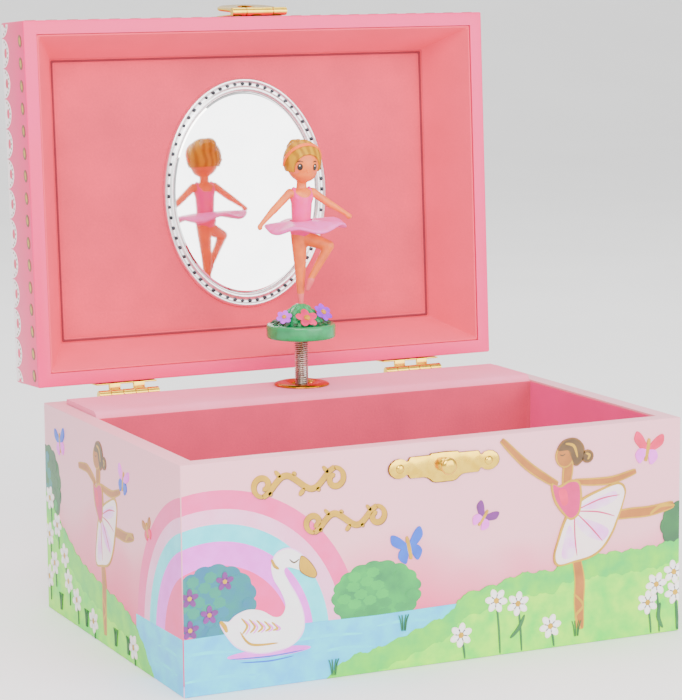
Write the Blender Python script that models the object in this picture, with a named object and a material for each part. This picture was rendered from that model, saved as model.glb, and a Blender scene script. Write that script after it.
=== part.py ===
"""Musical jewellery box with a turning dancer: casing, lid, hinges, hasp, platform and movement."""
import math

import bmesh
import bpy
from mathutils import Matrix, Vector

MM = 0.001

# box casing
BOX_W = 152.0
BOX_D = 108.3
BOX_H = 61.9
WALL = 5.0
BOTTOM = 3.0
SEAM = 0.05

# lid
LID_WALL = 4.0
LID_RIM = 62.3
LID_TOP = 83.0
LID_BOARD = 2.6
LID_OPEN_DEG = 93.08
LINING_FACE = 79.7
LINING_X = 61.6
LINING_Y = 41.8
HINGE_Y = BOX_D / 2 + 3.65
HINGE_Z = 61.85
HINGE_X = 47.9
HINGE_L = 19.5

# platform over the movement
PLATFORM_TOP = 63.4
PLATFORM_FRONT = 23.0
PLATFORM_BACK = 48.85
PLATFORM_THICK = 5.4

# dancer
SPINDLE_X = 1.0
SPINDLE_Y = 39.5
FOLD_Y = SPINDLE_Y - 5.6
FOLD_Z = PLATFORM_TOP - 0.6
SPRING_R = 1.85
SPRING_WIRE = 0.22
SPRING_TURNS = 24
DISC_BOTTOM = PLATFORM_TOP + 14.5
DISC_R = 10.45
DISC_H = 4.2

# movement
BARREL_Z = 30.0
PINION_TEETH = 10
PINION_R = 3.0
CROWN_TEETH = 40
CROWN_R = 12.0
CROWN_PLANE = SPINDLE_Y - PINION_R
CYLINDER_R = 6.5
CYLINDER_X0 = -36.6
CYLINDER_X1 = -15.2
WHEEL_TEETH = 30
WHEEL_R = 7.5
GOV_TEETH = 10
GOV_R = 2.5
GOV_Z = BARREL_Z + WHEEL_R + GOV_R

# colours: linear values of the finishes
PINK_PAPER = (0.85, 0.30, 0.42)
PINK_SUEDE = (0.86, 0.42, 0.45)
ROSE_LINING = (0.80, 0.33, 0.37)
PALE_PINK = (0.90, 0.76, 0.82)
BRASS = (0.83, 0.62, 0.25)
STEEL = (0.62, 0.62, 0.63)
SILVER = (0.86, 0.87, 0.89)
SKIN = (0.95, 0.58, 0.38)
TUTU_PINK = (0.95, 0.42, 0.52)
MINT = (0.27, 0.62, 0.36)
LEAF = (0.05, 0.33, 0.14)
LILAC = (0.60, 0.42, 0.85)
YELLOW = (0.95, 0.60, 0.02)

for old in list(bpy.data.objects):
    bpy.data.objects.remove(old, do_unlink=True)

parts = bpy.data.collections.new("jewellery_box")
bpy.context.scene.collection.children.link(parts)


def material(name, colour, rough, metallic=0.0):
    mat = bpy.data.materials.new(name)
    mat.use_nodes = True
    shader = mat.node_tree.nodes["Principled BSDF"]
    shader.inputs["Base Color"].default_value = (*colour, 1.0)
    shader.inputs["Roughness"].default_value = rough
    shader.inputs["Metallic"].default_value = metallic
    mat.diffuse_color = (*colour, 1.0)
    return mat


def from_bmesh(name, bm, matrix=None):
    bmesh.ops.remove_doubles(bm, verts=bm.verts, dist=1e-3)
    bmesh.ops.recalc_face_normals(bm, faces=bm.faces)
    mesh = bpy.data.meshes.new(name)
    bm.to_mesh(mesh)
    bm.free()
    if matrix is not None:
        mesh.transform(matrix)
    obj = bpy.data.objects.new(name, mesh)
    parts.objects.link(obj)
    return obj


def place(x=0.0, y=0.0, z=0.0, turn=None):
    move = Matrix.Translation((x, y, z))
    return move @ turn if turn is not None else move


ALONG_X = Matrix.Rotation(math.radians(90), 4, "Y")
ALONG_Y = Matrix.Rotation(math.radians(-90), 4, "X")


def block(name, x0, x1, y0, y1, z0, z1):
    bm = bmesh.new()
    bmesh.ops.create_cube(bm, size=1.0)
    bmesh.ops.scale(bm, vec=(x1 - x0, y1 - y0, z1 - z0), verts=bm.verts)
    bmesh.ops.translate(bm, vec=((x0 + x1) / 2, (y0 + y1) / 2, (z0 + z1) / 2), verts=bm.verts)
    return from_bmesh(name, bm)


def turned(name, profile, steps=24, matrix=None):
    """Spin a closed outline of (radius, height) pairs about Z; a point at radius 0 closes the solid."""
    bm = bmesh.new()
    verts = [bm.verts.new((r, 0.0, h)) for r, h in profile]
    edges = [bm.edges.new((a, b)) for a, b in zip(verts, verts[1:])]
    if profile[0][0] > 0.0:
        edges.append(bm.edges.new((verts[-1], verts[0])))
    bmesh.ops.spin(bm, geom=verts + edges, cent=(0, 0, 0), axis=(0, 0, 1), angle=math.tau,
                   steps=steps, use_merge=True)
    bmesh.ops.dissolve_degenerate(bm, dist=1e-5, edges=bm.edges)
    return from_bmesh(name, bm, matrix)


def disc(name, radius, h0, h1, steps=24, matrix=None, bore=0.0):
    if bore:
        return turned(name, [(bore, h0), (radius, h0), (radius, h1), (bore, h1)], steps, matrix)
    return turned(name, [(0.0, h0), (radius, h0), (radius, h1), (0.0, h1)], steps, matrix)


def prism(name, outline, h0, h1, matrix=None):
    bm = bmesh.new()
    face = bm.faces.new([bm.verts.new((x, y, h0)) for x, y in outline])
    grown = bmesh.ops.extrude_face_region(bm, geom=[face])
    top = [v for v in grown["geom"] if isinstance(v, bmesh.types.BMVert)]
    bmesh.ops.translate(bm, vec=(0, 0, h1 - h0), verts=top)
    return from_bmesh(name, bm, matrix)


def ball(name, centre, radius, squash=(1, 1, 1), rings=6, steps=10):
    bm = bmesh.new()
    bmesh.ops.create_uvsphere(bm, u_segments=steps, v_segments=rings, radius=radius)
    bmesh.ops.scale(bm, vec=squash, verts=bm.verts)
    bmesh.ops.translate(bm, vec=centre, verts=bm.verts)
    return from_bmesh(name, bm)


def limb(name, a, b, ra, rb, steps=8):
    a, b = Vector(a), Vector(b)
    bm = bmesh.new()
    bmesh.ops.create_cone(bm, cap_ends=True, segments=steps, radius1=ra, radius2=rb, depth=(b - a).length)
    bmesh.ops.rotate(bm, matrix=(b - a).to_track_quat("Z", "Y").to_matrix(), verts=bm.verts)
    bmesh.ops.translate(bm, vec=(a + b) / 2, verts=bm.verts)
    return from_bmesh(name, bm)


def combine(base, others, kind="UNION"):
    for other in others:
        mod = base.modifiers.new(kind.lower(), "BOOLEAN")
        mod.operation = kind
        mod.solver = "EXACT"
        mod.object = other
        graph = bpy.context.evaluated_depsgraph_get()
        mesh = bpy.data.meshes.new_from_object(base.evaluated_get(graph))
        base.modifiers.remove(mod)
        base.data = mesh
        bpy.data.objects.remove(other, do_unlink=True)
    tidy(base)
    return base


def cut(base, *others):
    return combine(base, others, "DIFFERENCE")


def tidy(obj):
    bm = bmesh.new()
    bm.from_mesh(obj.data)
    bmesh.ops.triangulate(bm, faces=bm.faces)
    bmesh.ops.remove_doubles(bm, verts=bm.verts, dist=2e-4)
    bmesh.ops.dissolve_degenerate(bm, edges=bm.edges, dist=1e-4)
    bmesh.ops.triangulate(bm, faces=bm.faces)
    bmesh.ops.recalc_face_normals(bm, faces=bm.faces)
    bm.to_mesh(obj.data)
    bm.free()


def finish(obj, mat, origin=None, smooth=False):
    obj.data.materials.clear()
    obj.data.materials.append(mat)
    obj.data.transform(Matrix.Diagonal((MM, MM, MM, 1.0)))
    if origin is not None:
        centre = Vector(origin) * MM
        obj.data.transform(Matrix.Translation(-centre))
        obj.location = centre
    for face in obj.data.polygons:
        face.use_smooth = smooth
    return obj


def gear_outline(teeth, root, tip, width, phase=0.0):
    """Straight-sided teeth of one width, centred on phase."""
    points = []
    for i in range(teeth):
        mid = phase + math.tau * i / teeth
        half_root = width * 0.75 / root
        half_tip = width * 0.5 / tip
        for radius, angle in ((root, -half_root), (tip, -half_tip), (tip, half_tip), (root, half_root)):
            points.append((radius * math.cos(mid + angle), radius * math.sin(mid + angle)))
    return points


OPEN = (Matrix.Translation((0, HINGE_Y, HINGE_Z))
        @ Matrix.Rotation(math.radians(-LID_OPEN_DEG), 4, "X")
        @ Matrix.Translation((0, -HINGE_Y, -HINGE_Z)))
LID_AXIS = (0.0, HINGE_Y, HINGE_Z)


def on_lid(obj, mat, smooth=False, origin=LID_AXIS):
    obj.data.transform(OPEN)
    return finish(obj, mat, origin, smooth)


# ---------------------------------------------------------------- casing
def build_casing():
    paper = material("printed_paper", PALE_PINK, 0.45)
    base_card = material("base_card", (0.80, 0.45, 0.55), 0.7)
    x, y = BOX_W / 2, BOX_D / 2
    low = BOTTOM + SEAM
    finish(block("box_bottom", -x, x, -y, y, 0, BOTTOM), base_card)
    finish(block("box_front", -x, x, -y, -y + WALL, low, BOX_H), paper)
    back = block("box_back", -x, x, y - WALL, y, low, BOX_H)
    hole = disc("hole", 2.4, y - WALL - 1, y + 1, 16, place(SPINDLE_X, 0, BARREL_Z, ALONG_Y))
    finish(cut(back, hole), paper)
    side = y - WALL - SEAM
    finish(block("box_left", -x, -x + WALL, -side, side, low, BOX_H), paper)
    finish(block("box_right", x - WALL, x, -side, side, low, BOX_H), paper)
    inner = x - WALL - 0.1
    rose = material("rose_lining", ROSE_LINING, 0.75)
    tray = block("compartment_lining", -inner, inner, -side, PLATFORM_FRONT - 0.1, low + 0.05, BOX_H - 0.4)
    space = block("space", -inner + 0.7, inner - 0.7, -side + 0.7, PLATFORM_FRONT - 0.8, low + 1.6, BOX_H + 5)
    finish(cut(tray, space), rose)


# ---------------------------------------------------------------- platform
def build_platform():
    suede = material("pink_suede", PINK_SUEDE, 0.9)
    brass = material("grommet_brass", BRASS, 0.25, 1.0)
    half = BOX_W / 2 - WALL - 0.25
    y0, y1 = PLATFORM_FRONT, PLATFORM_BACK
    z1, z0 = PLATFORM_TOP, PLATFORM_TOP - PLATFORM_THICK
    radius = 2.6
    outline = [(y1, z0), (y1, z1 - 0.6), (y1 - 0.6, z1)]
    for i in range(6):
        angle = math.radians(90 + 18 * i)
        outline.append((y0 + radius + radius * math.cos(angle), z1 - radius + radius * math.sin(angle)))
    outline.append((y0, z0))
    turn = Matrix(((0, 0, 1, 0), (1, 0, 0, 0), (0, 1, 0, 0), (0, 0, 0, 1)))
    top = prism("platform_top", outline, -half, half, turn)
    grommet_hole = disc("hole", 4.3, z0 - 1, z1 + 1, 24, place(SPINDLE_X, SPINDLE_Y))
    wire_slot = block("slot", SPINDLE_X + 3.3, SPINDLE_X + 5.1, y1 - 0.9, y1 + 1, z0 - 1, z1 + 1)
    finish(cut(top, grommet_hole, wire_slot), suede)
    finish(block("platform_front", -half, half, y0 + 0.1, y0 + 2.4, BOTTOM + 0.1, z0 - SEAM), suede)
    ring = [(3.3, z0 + 0.4), (4.1, z0 + 0.4), (4.1, z1 + 0.02), (8.2, z1 + 0.02), (8.45, z1 + 0.25), (7.9, z1 + 0.7),
            (6.6, z1 + 1.0), (5.2, z1 + 0.95), (4.2, z1 + 0.6), (3.3, z1 + 0.1)]
    finish(turned("grommet", ring, 26, place(SPINDLE_X, SPINDLE_Y)), brass, smooth=True)


# ---------------------------------------------------------------- dancer
def build_spring():
    steel = material("spring_steel", STEEL, 0.3, 1.0)
    z0, z1 = PLATFORM_TOP - 1.6, DISC_BOTTOM - 1.0
    per_turn = 8
    count = SPRING_TURNS * per_turn
    curve = bpy.data.curves.new("dancer_spring", "CURVE")
    curve.dimensions = "3D"
    curve.bevel_depth = SPRING_WIRE
    curve.bevel_resolution = 0
    curve.use_fill_caps = True
    line = curve.splines.new("POLY")
    line.points.add(count)
    for i in range(count + 1):
        angle = math.tau * i / per_turn
        height = z0 + (z1 - z0) * i / count
        line.points[i].co = (SPINDLE_X + SPRING_R * math.cos(angle), SPINDLE_Y + SPRING_R * math.sin(angle), height, 1.0)
    shape = bpy.data.objects.new("coil", curve)
    bpy.context.scene.collection.objects.link(shape)
    graph = bpy.context.evaluated_depsgraph_get()
    mesh = bpy.data.meshes.new_from_object(shape.evaluated_get(graph))
    bpy.data.objects.remove(shape, do_unlink=True)
    spring = bpy.data.objects.new("dancer_spring", mesh)
    parts.objects.link(spring)
    bm = bmesh.new()
    bm.from_mesh(mesh)
    bmesh.ops.remove_doubles(bm, verts=bm.verts, dist=1e-3)
    bmesh.ops.recalc_face_normals(bm, faces=bm.faces)
    bm.to_mesh(mesh)
    bm.free()
    finish(spring, steel, smooth=True)
    zc = DISC_BOTTOM
    stem = [(0.0, zc - 5.0), (1.3, zc - 5.0), (1.3, zc - 0.65), (2.5, zc - 0.65), (2.5, zc - 0.15),
            (1.0, zc - 0.15), (1.0, zc + 3.6), (0.0, zc + 3.6)]
    brass = material("cap_brass", BRASS, 0.3, 1.0)
    finish(turned("spring_cap", stem, 16, place(SPINDLE_X, SPINDLE_Y)), brass, (0, FOLD_Y, FOLD_Z), True)


def petals(name, centre, radius, count, thick, tilt):
    outline = []
    steps = count * 4
    for i in range(steps):
        angle = math.tau * i / steps
        reach = radius * (0.74 + 0.26 * math.cos(count * angle))
        outline.append((reach * math.cos(angle), reach * math.sin(angle)))
    turn = Matrix.Rotation(math.radians(tilt[2]), 4, "Z") @ Matrix.Rotation(math.radians(tilt[0]), 4, "X")
    return prism(name, outline, 0.0, thick, place(*centre, turn))


def build_garden():
    axis = (SPINDLE_X, SPINDLE_Y, DISC_BOTTOM)
    mint = material("mint_paint", MINT, 0.4)
    z = DISC_BOTTOM
    top = z + DISC_H
    shape = [(1.3, z), (DISC_R - 0.4, z), (DISC_R, z + 0.5), (DISC_R, top - 0.5), (DISC_R - 0.5, top), (6.6, top),
             (5.6, top + 1.7), (4.2, top + 3.4), (2.8, top + 4.8), (1.5, top + 5.9), (0.0, top + 6.1),
             (0.0, z + 4.0), (1.3, z + 4.0)]
    closed = shape[11:12] + [(1.3, z + 4.0)] + shape[:11]
    body = turned("garden_disc", closed, 26, place(SPINDLE_X, SPINDLE_Y))
    finish(body, mint, axis, True)
    leaf = material("leaf_green", LEAF, 0.5)
    outline = []
    for i in range(48):
        angle = math.tau * i / 48
        reach = 8.4 + 1.2 * math.cos(8 * angle)
        outline.append((reach * math.cos(angle), reach * math.sin(angle)))
    wreath = prism("leaf_wreath", outline, top + 0.1, top + 0.8, place(SPINDLE_X, SPINDLE_Y))
    hole = disc("hole", 6.85, top - 1, top + 2, 32, place(SPINDLE_X, SPINDLE_Y))
    notch = block("notch", SPINDLE_X - 5.2, SPINDLE_X + 3.2, SPINDLE_Y - 12, SPINDLE_Y - 5, top - 1, top + 2)
    finish(cut(wreath, hole, notch), leaf, axis)
    pink = material("flower_pink", TUTU_PINK, 0.5)
    lilac = material("flower_lilac", LILAC, 0.5)
    centre = (SPINDLE_X - 1.0, SPINDLE_Y - 6.3, top + 2.4)
    finish(petals("flower_pink", centre, 3.4, 5, 0.7, (40, 0, 0)), pink, axis)
    centre = (SPINDLE_X + 6.0, SPINDLE_Y - 2.6, top + 3.5)
    finish(petals("flower_lilac_right", centre, 3.1, 6, 0.7, (50, 0, 20)), lilac, axis)
    centre = (SPINDLE_X - 6.6, SPINDLE_Y - 2.2, top + 2.8)
    finish(petals("flower_lilac_left", centre, 2.3, 6, 0.6, (50, 0, -25)), lilac, axis)


def build_dancer():
    axis = (SPINDLE_X, SPINDLE_Y, DISC_BOTTOM)
    base = PLATFORM_TOP
    skin = material("skin_paint", SKIN, 0.45)

    def at(x, y, h):
        return (SPINDLE_X + x, SPINDLE_Y + y, base + h)

    body = limb("dancer_figure", at(0, 0, 24.95), at(0, 0, 28.2), 0.75, 1.1)
    pieces = [
        limb("calf", at(0, 0, 27.8), at(0, 0.1, 35.2), 1.1, 1.75),
        limb("thigh", at(0, 0.1, 34.7), at(-0.4, 0, 45.5), 1.65, 2.5),
        limb("thigh_up", at(1.4, -0.4, 44.7), at(7.6, -3.8, 42.2), 2.4, 1.65),
        ball("knee", at(7.6, -3.8, 42.1), 1.75),
        limb("shin", at(7.7, -3.9, 42.2), at(2.2, -2.6, 32.4), 1.6, 0.95),
        limb("toe", at(2.4, -2.7, 32.8), at(1.3, -2.3, 29.4), 1.0, 0.6),
        ball("hips", at(0.4, 0, 47.2), 3.6, (1.0, 0.82, 0.95)),
        limb("torso", at(0.4, 0, 47.5), at(0.6, 0, 57.2), 2.75, 3.35, 12),
        ball("chest", at(0.6, 0, 57.4), 3.5, (1.05, 0.78, 0.72)),
        limb("neck", at(0.6, 0.1, 58.5), at(0.8, 0, 63.6), 1.6, 1.45),
        ball("head", at(1.0, -0.3, 67.2), 5.2, (0.96, 1.0, 1.13), 10, 16),
        limb("arm_r", at(-3.2, 0, 58.5), at(-9.0, -0.6, 53.2), 1.35, 1.15),
        limb("fore_r", at(-8.7, -0.6, 53.6), at(-13.5, -1.6, 49.2), 1.15, 0.75),
        ball("hand_r", at(-13.8, -1.7, 48.7), 1.0),
        limb("arm_l", at(4.2, 0, 58.5), at(10.0, -0.6, 54.1), 1.35, 1.15),
        limb("fore_l", at(9.7, -0.6, 54.4), at(15.2, -1.8, 50.8), 1.15, 0.75),
        ball("hand_l", at(15.4, -1.9, 50.5), 1.0),
    ]
    finish(combine(body, pieces), skin, axis, True)
    cloth = material("tutu_cloth", TUTU_PINK, 0.6)
    bm = bmesh.new()
    steps = 30
    rings = [(3.9, 49.9, 0.0), (8.0, 49.4, 0.35), (12.2, 48.5, 0.8), (12.4, 47.5, 0.8), (8.0, 48.0, 0.35), (3.9, 48.4, 0.0)]
    loops = []
    for radius, height, wave in rings:
        loop = []
        for i in range(steps):
            angle = math.tau * i / steps
            lift = wave * math.sin(5 * angle) + 0.05 * radius * math.cos(angle)
            sway = 0.4 + 0.17 * (radius - 3.9)
            loop.append(bm.verts.new((sway + radius * math.cos(angle), radius * math.sin(angle), height + lift)))
        loops.append(loop)
    for j in range(len(rings)):
        first, second = loops[j], loops[(j + 1) % len(rings)]
        for i in range(steps):
            bm.faces.new((first[i], first[(i + 1) % steps], second[(i + 1) % steps], second[i]))
    skirt = from_bmesh("dancer_tutu", bm, place(SPINDLE_X, SPINDLE_Y, base))
    finish(skirt, cloth, axis, True)
    hair = material("hair_yellow", YELLOW, 0.5)
    skull = (0.97, 1.0, 1.07)
    middle = at(1.0, 0.1, 67.7)
    shell = ball("dancer_hair", middle, 5.95, skull, 10, 18)
    shell = combine(shell, [ball("bun", at(1.0, 4.3, 71.4), 2.9, (1, 1, 0.9), 8, 12)])
    inner = ball("inner", at(1.0, -0.3, 67.2), 5.42, (0.96, 1.0, 1.13), 10, 16)
    face = block("face", SPINDLE_X - 5.2, SPINDLE_X + 7.2, SPINDLE_Y - 9, SPINDLE_Y - 1.0, base + 60, base + 69.2)
    below = block("below", SPINDLE_X - 9, SPINDLE_X + 9, SPINDLE_Y - 9, SPINDLE_Y + 9, base + 58, base + 65.0)
    finish(cut(shell, inner, face, below), hair, axis, True)
    band = material("band_peach", (0.95, 0.50, 0.28), 0.5)
    turn = Matrix.Diagonal(skull).to_4x4() @ Matrix.Rotation(math.radians(-52), 4, "X")
    ring = [(5.8, -0.5), (6.25, -0.5), (6.45, 0.0), (6.25, 0.5), (5.8, 0.5)]
    hoop = turned("dancer_headband", ring, 28, place(*middle, turn))
    keep_out = ball("keep", middle, 6.02, skull, 14, 28)
    bun_room = ball("bun_room", at(1.0, 4.3, 71.4), 3.1, (1, 1, 0.9), 8, 12)
    nape = block("nape", SPINDLE_X - 9, SPINDLE_X + 9, SPINDLE_Y - 9, SPINDLE_Y + 9, base + 58, base + 66.3)
    finish(cut(hoop, keep_out, bun_room, nape), band, axis, True)


# ---------------------------------------------------------------- lid
def build_lid():
    paper = material("lid_paper", (0.88, 0.45, 0.58), 0.45)
    suede = material("lid_suede", ROSE_LINING, 0.9)
    x, y = BOX_W / 2, BOX_D / 2
    board = LID_TOP - LID_BOARD
    on_lid(block("lid_top", -x, x, -y, y, board, LID_TOP), paper)
    on_lid(block("lid_front", -x, x, -y, -y + LID_WALL, LID_RIM, board - SEAM), paper)
    on_lid(block("lid_back", -x, x, y - LID_WALL, y, LID_RIM, board - SEAM), paper)
    side = y - LID_WALL - SEAM
    on_lid(block("lid_left", -x, -x + LID_WALL, -side, side, LID_RIM, board - SEAM), paper)
    on_lid(block("lid_right", x - LID_WALL, x, -side, side, LID_RIM, board - SEAM), paper)
    ox, oy = x - LID_WALL - 0.1, side - 0.05
    pad = block("lid_lining", -ox, ox, -oy, oy, LID_RIM + 0.5, board - SEAM - 0.05)
    bm = bmesh.new()
    wide = [(-1, -1), (1, -1), (1, 1), (-1, 1)]
    reach = 17.4 + 2.0
    slope_x = (ox - 0.7 - LINING_X) / 16.9
    slope_y = (oy - 0.7 - LINING_Y) / 16.9
    low = [bm.verts.new((sx * (LINING_X + slope_x * reach), sy * (LINING_Y + slope_y * reach), LINING_FACE - reach))
           for sx, sy in wide]
    high = [bm.verts.new((sx * LINING_X, sy * LINING_Y, LINING_FACE)) for sx, sy in wide]
    bm.faces.new(low)
    bm.faces.new(high)
    for i in range(4):
        bm.faces.new((low[i], low[(i + 1) % 4], high[(i + 1) % 4], high[i]))
    on_lid(cut(pad, from_bmesh("space", bm)), suede)
    silver = material("mirror_silver", SILVER, 0.25, 1.0)
    glass = material("mirror_glass", (0.92, 0.93, 0.94), 0.03, 1.0)
    ring = [(24.2, 0.35), (24.5, 1.3), (25.6, 1.75), (27.0, 1.6), (27.5, 0.9), (27.5, 0.0), (24.2, 0.0)]
    tall = Matrix.Diagonal((1.0, 71.6 / 55.0, 1.0, 1.0))
    face = place(0, 0, LINING_FACE - 0.05) @ tall @ Matrix.Diagonal((1, 1, -1, 1))
    frame = turned("mirror_frame", ring, 40, face)
    on_lid(flip(frame), silver, True)
    pane = disc("mirror_glass", 24.0, 0.0, 0.9, 40, face)
    on_lid(flip(pane), glass)


def flip(obj):
    bm = bmesh.new()
    bm.from_mesh(obj.data)
    bmesh.ops.recalc_face_normals(bm, faces=bm.faces)
    bm.to_mesh(obj.data)
    bm.free()
    return obj


# ---------------------------------------------------------------- hinges
def build_hinge(side, label):
    brass = material("hinge_brass_" + label, BRASS, 0.3, 1.0)
    back = BOX_D / 2
    x0 = side * HINGE_X - HINGE_L / 2
    step = HINGE_L / 5
    for leaf, low, high, plate, straps in (("box", 50.0, 60.7, (60.0, 60.9), (0, 2, 4)),
                                           ("lid", 63.0, 73.7, (62.85, 63.75), (1, 3))):
        body = block("hinge_%s_leaf_%s" % (label, leaf), x0 + 0.1, x0 + HINGE_L - 0.1, back + 0.05, back + 0.75, low, high)
        extra = []
        for i in straps:
            a, b = x0 + i * step + 0.12, x0 + (i + 1) * step - 0.12
            extra.append(block("strap", a + 0.03, b - 0.03, back + 0.3, HINGE_Y + 0.2, plate[0], plate[1]))
            extra.append(disc("knuckle", 1.5, a, b, 12, place(0, HINGE_Y, HINGE_Z, ALONG_X)))
        combine(body, extra)
        cut(body, disc("bore", 0.78, x0 - 1, x0 + HINGE_L + 1, 8, place(0, HINGE_Y, HINGE_Z, ALONG_X)))
        nail_z = (low + high) / 2 + (-1.0 if leaf == "box" else 1.0)
        middle = side * HINGE_X
        hole = disc("hole", 0.6, back - 1, back + 2, 8, place(middle, 0, nail_z, ALONG_Y))
        cut(body, hole)
        head = [(0.0, back + 0.06), (0.45, back + 0.06), (0.45, back + 0.8), (1.3, back + 0.8), (1.0, back + 1.25),
                (0.0, back + 1.45)]
        nail = turned("hinge_%s_nail_%s" % (label, leaf), head, 8, place(middle, 0, nail_z, ALONG_Y))
        if leaf == "lid":
            on_lid(body, brass)
            on_lid(nail, brass, True)
        else:
            finish(body, brass)
            finish(nail, brass, smooth=True)
    pin = disc("hinge_%s_pin" % label, 0.62, x0 + 0.1, x0 + HINGE_L - 0.1, 10, place(0, HINGE_Y, HINGE_Z, ALONG_X))
    finish(pin, brass, LID_AXIS, True)


# ---------------------------------------------------------------- latch and hasp
LATCH_X = 0.6
LATCH_Z = 55.3
HASP_Z = LID_RIM + 3.0
HASP_Y = -BOX_D / 2 - 1.55
HASP_TILT = 12.0


def mirror_outline(right):
    return right + [(-x, z) for x, z in reversed(right)]


def build_latch():
    gold = material("latch_gold", (0.86, 0.68, 0.33), 0.28, 1.0)
    front = -BOX_D / 2
    upright = Matrix.Rotation(math.radians(90), 4, "X")
    half = [(4.2, -4.6), (6.0, -3.1), (10.4, -2.9), (11.4, -2.0), (15.2, -2.6), (16.8, 0.0), (15.2, 2.6),
            (11.4, 2.0), (10.4, 2.9), (4.6, 2.9), (3.4, 2.5)]
    plate = prism("latch_plate", mirror_outline(half), -front + 0.05, -front + 0.6, place(LATCH_X, 0, LATCH_Z, upright))
    holes = [disc("hole", 0.6, -front - 1, -front + 2, 12, place(LATCH_X + dx, 0, LATCH_Z, upright))
             for dx in (-13.5, 13.5)]
    finish(cut(plate, *holes), gold)
    knob = [(0.0, 0.65), (2.0, 0.65), (1.5, 1.3), (1.5, 2.0), (2.3, 2.6), (2.35, 3.2), (1.6, 3.9), (0.0, 4.1)]
    at = place(LATCH_X, front, LATCH_Z, upright)
    finish(turned("latch_knob", knob, 20, at), gold, smooth=True)
    for label, dx in (("left", -13.5), ("right", 13.5)):
        head = [(0.0, 0.06), (0.45, 0.06), (0.45, 0.65), (1.25, 0.65), (0.95, 1.1), (0.0, 1.3)]
        at = place(LATCH_X + dx, front, LATCH_Z, upright)
        finish(turned("latch_nail_" + label, head, 10, at), gold, smooth=True)


def build_hasp():
    gold = material("hasp_gold", (0.86, 0.68, 0.33), 0.28, 1.0)
    front = -BOX_D / 2
    base = block("hasp_plate", LATCH_X - 9, LATCH_X + 9, front - 0.75, front - 0.05, HASP_Z + 2.0, HASP_Z + 12.0)
    extra = []
    for x in (-9.0, 4.5):
        a, b = LATCH_X + x, LATCH_X + x + 4.5
        extra.append(disc("knuckle", 1.25, a, b, 14, place(0, HASP_Y, HASP_Z, ALONG_X)))
        extra.append(block("strap", a + 0.04, b - 0.04, HASP_Y - 0.3, front - 0.15, HASP_Z + 0.2, HASP_Z + 1.1))
        extra.append(block("riser", a + 0.07, b - 0.07, front - 0.7, front - 0.1, HASP_Z + 0.5, HASP_Z + 3.0))
    combine(base, extra)
    cut(base, disc("bore", 0.62, -20, 20, 12, place(0, HASP_Y, HASP_Z, ALONG_X)))
    on_lid(base, gold)
    pin = disc("hasp_pin", 0.48, LATCH_X - 8.9, LATCH_X + 8.9, 12, place(0, HASP_Y, HASP_Z, ALONG_X))
    on_lid(pin, gold, True)
    # the tongue is drawn hanging over the knob, then folded back to where it rests
    upright = Matrix.Rotation(math.radians(90), 4, "X")
    drop = LATCH_Z - HASP_Z
    half = [(2.6, drop - 4.2), (6.5, drop - 3.4), (9.6, drop - 0.5), (10.2, drop + 2.8), (7.6, drop + 4.6),
            (6.2, -2.3), (4.2, -2.1)]
    y0 = -HASP_Y + 0.35
    leaf = prism("hasp_tongue", mirror_outline(half), y0, y0 + 0.7, place(LATCH_X, 0, HASP_Z, upright))
    knuckle = disc("knuckle", 1.25, LATCH_X - 4.3, LATCH_X + 4.3, 14, place(0, HASP_Y, HASP_Z, ALONG_X))
    web = block("web", LATCH_X - 4.0, LATCH_X + 4.0, HASP_Y - 1.05, HASP_Y - 0.35, HASP_Z - 3.0, HASP_Z)
    combine(leaf, [knuckle, web])
    cut(leaf, disc("bore", 0.62, -20, 20, 12, place(0, HASP_Y, HASP_Z, ALONG_X)),
        disc("eye", 2.75, -HASP_Y - 4, -HASP_Y + 4, 24, place(LATCH_X, 0, LATCH_Z, upright)))
    fold = (Matrix.Translation((0, HASP_Y, HASP_Z))
            @ Matrix.Rotation(math.radians(-(180.0 - HASP_TILT)), 4, "X")
            @ Matrix.Translation((0, -HASP_Y, -HASP_Z)))
    leaf.data.transform(fold)
    hinge = OPEN @ Vector((0, HASP_Y, HASP_Z))
    on_lid(leaf, gold, False, (0.0, hinge.y, hinge.z))


# ---------------------------------------------------------------- movement
def build_frame():
    brass = material("frame_brass", BRASS, 0.35, 1.0)
    steel = material("comb_steel", STEEL, 0.3, 1.0)
    back = BOX_D / 2 - WALL
    x, y, z = SPINDLE_X, SPINDLE_Y, BARREL_Z
    plate = block("movement_frame", -46, 18, back - 1.7, back - 0.1, 14, 51.3)
    extra = [block("cheek_a", -42.2, -41.2, 33.0, back - 1.0, 22, 46),
             block("cheek_b", -14.4, -13.6, 34.5, back - 1.0, 24, 36),
             block("shelf", x - 5, x + 5, 35.0, back - 1.0, 47.0, 48.0),
             block("sill", -38.5, -15.5, 26.6, back - 1.0, 17.0, 18.0),
             block("post", -38.5, -15.5, 26.6, 27.8, 17.5, 28.9)]
    combine(plate, extra)
    bores = [disc("bore", 2.2, back - 3, back + 1, 16, place(x, 0, z, ALONG_Y)),
             disc("bore", 1.15, -45, -40, 12, place(0, y, z, ALONG_X)),
             disc("bore", 0.75, -45, -40, 12, place(0, y, GOV_Z, ALONG_X)),
             disc("bore", 1.15, -15, -13, 12, place(0, y, z, ALONG_X)),
             disc("bore", 1.6, 46, 49, 16, place(x, y))]
    finish(cut(plate, *bores), brass)
    teeth = 18
    pitch = (CYLINDER_X1 - CYLINDER_X0 - 1.2) / teeth
    start = CYLINDER_X0 + 0.6
    outline = [(start + pitch * teeth, 26.9), (start, 26.9)]
    for i in range(teeth):
        a = start + pitch * i
        outline += [(a + 0.15, 29.4 - 0.03 * i), (a + 0.3, 32.1), (a + pitch - 0.3, 32.1), (a + pitch - 0.15, 29.4 - 0.03 * i)]
    comb = prism("comb", outline, z - 0.35 - 0.65, z - 0.1)
    finish(comb, steel)


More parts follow.
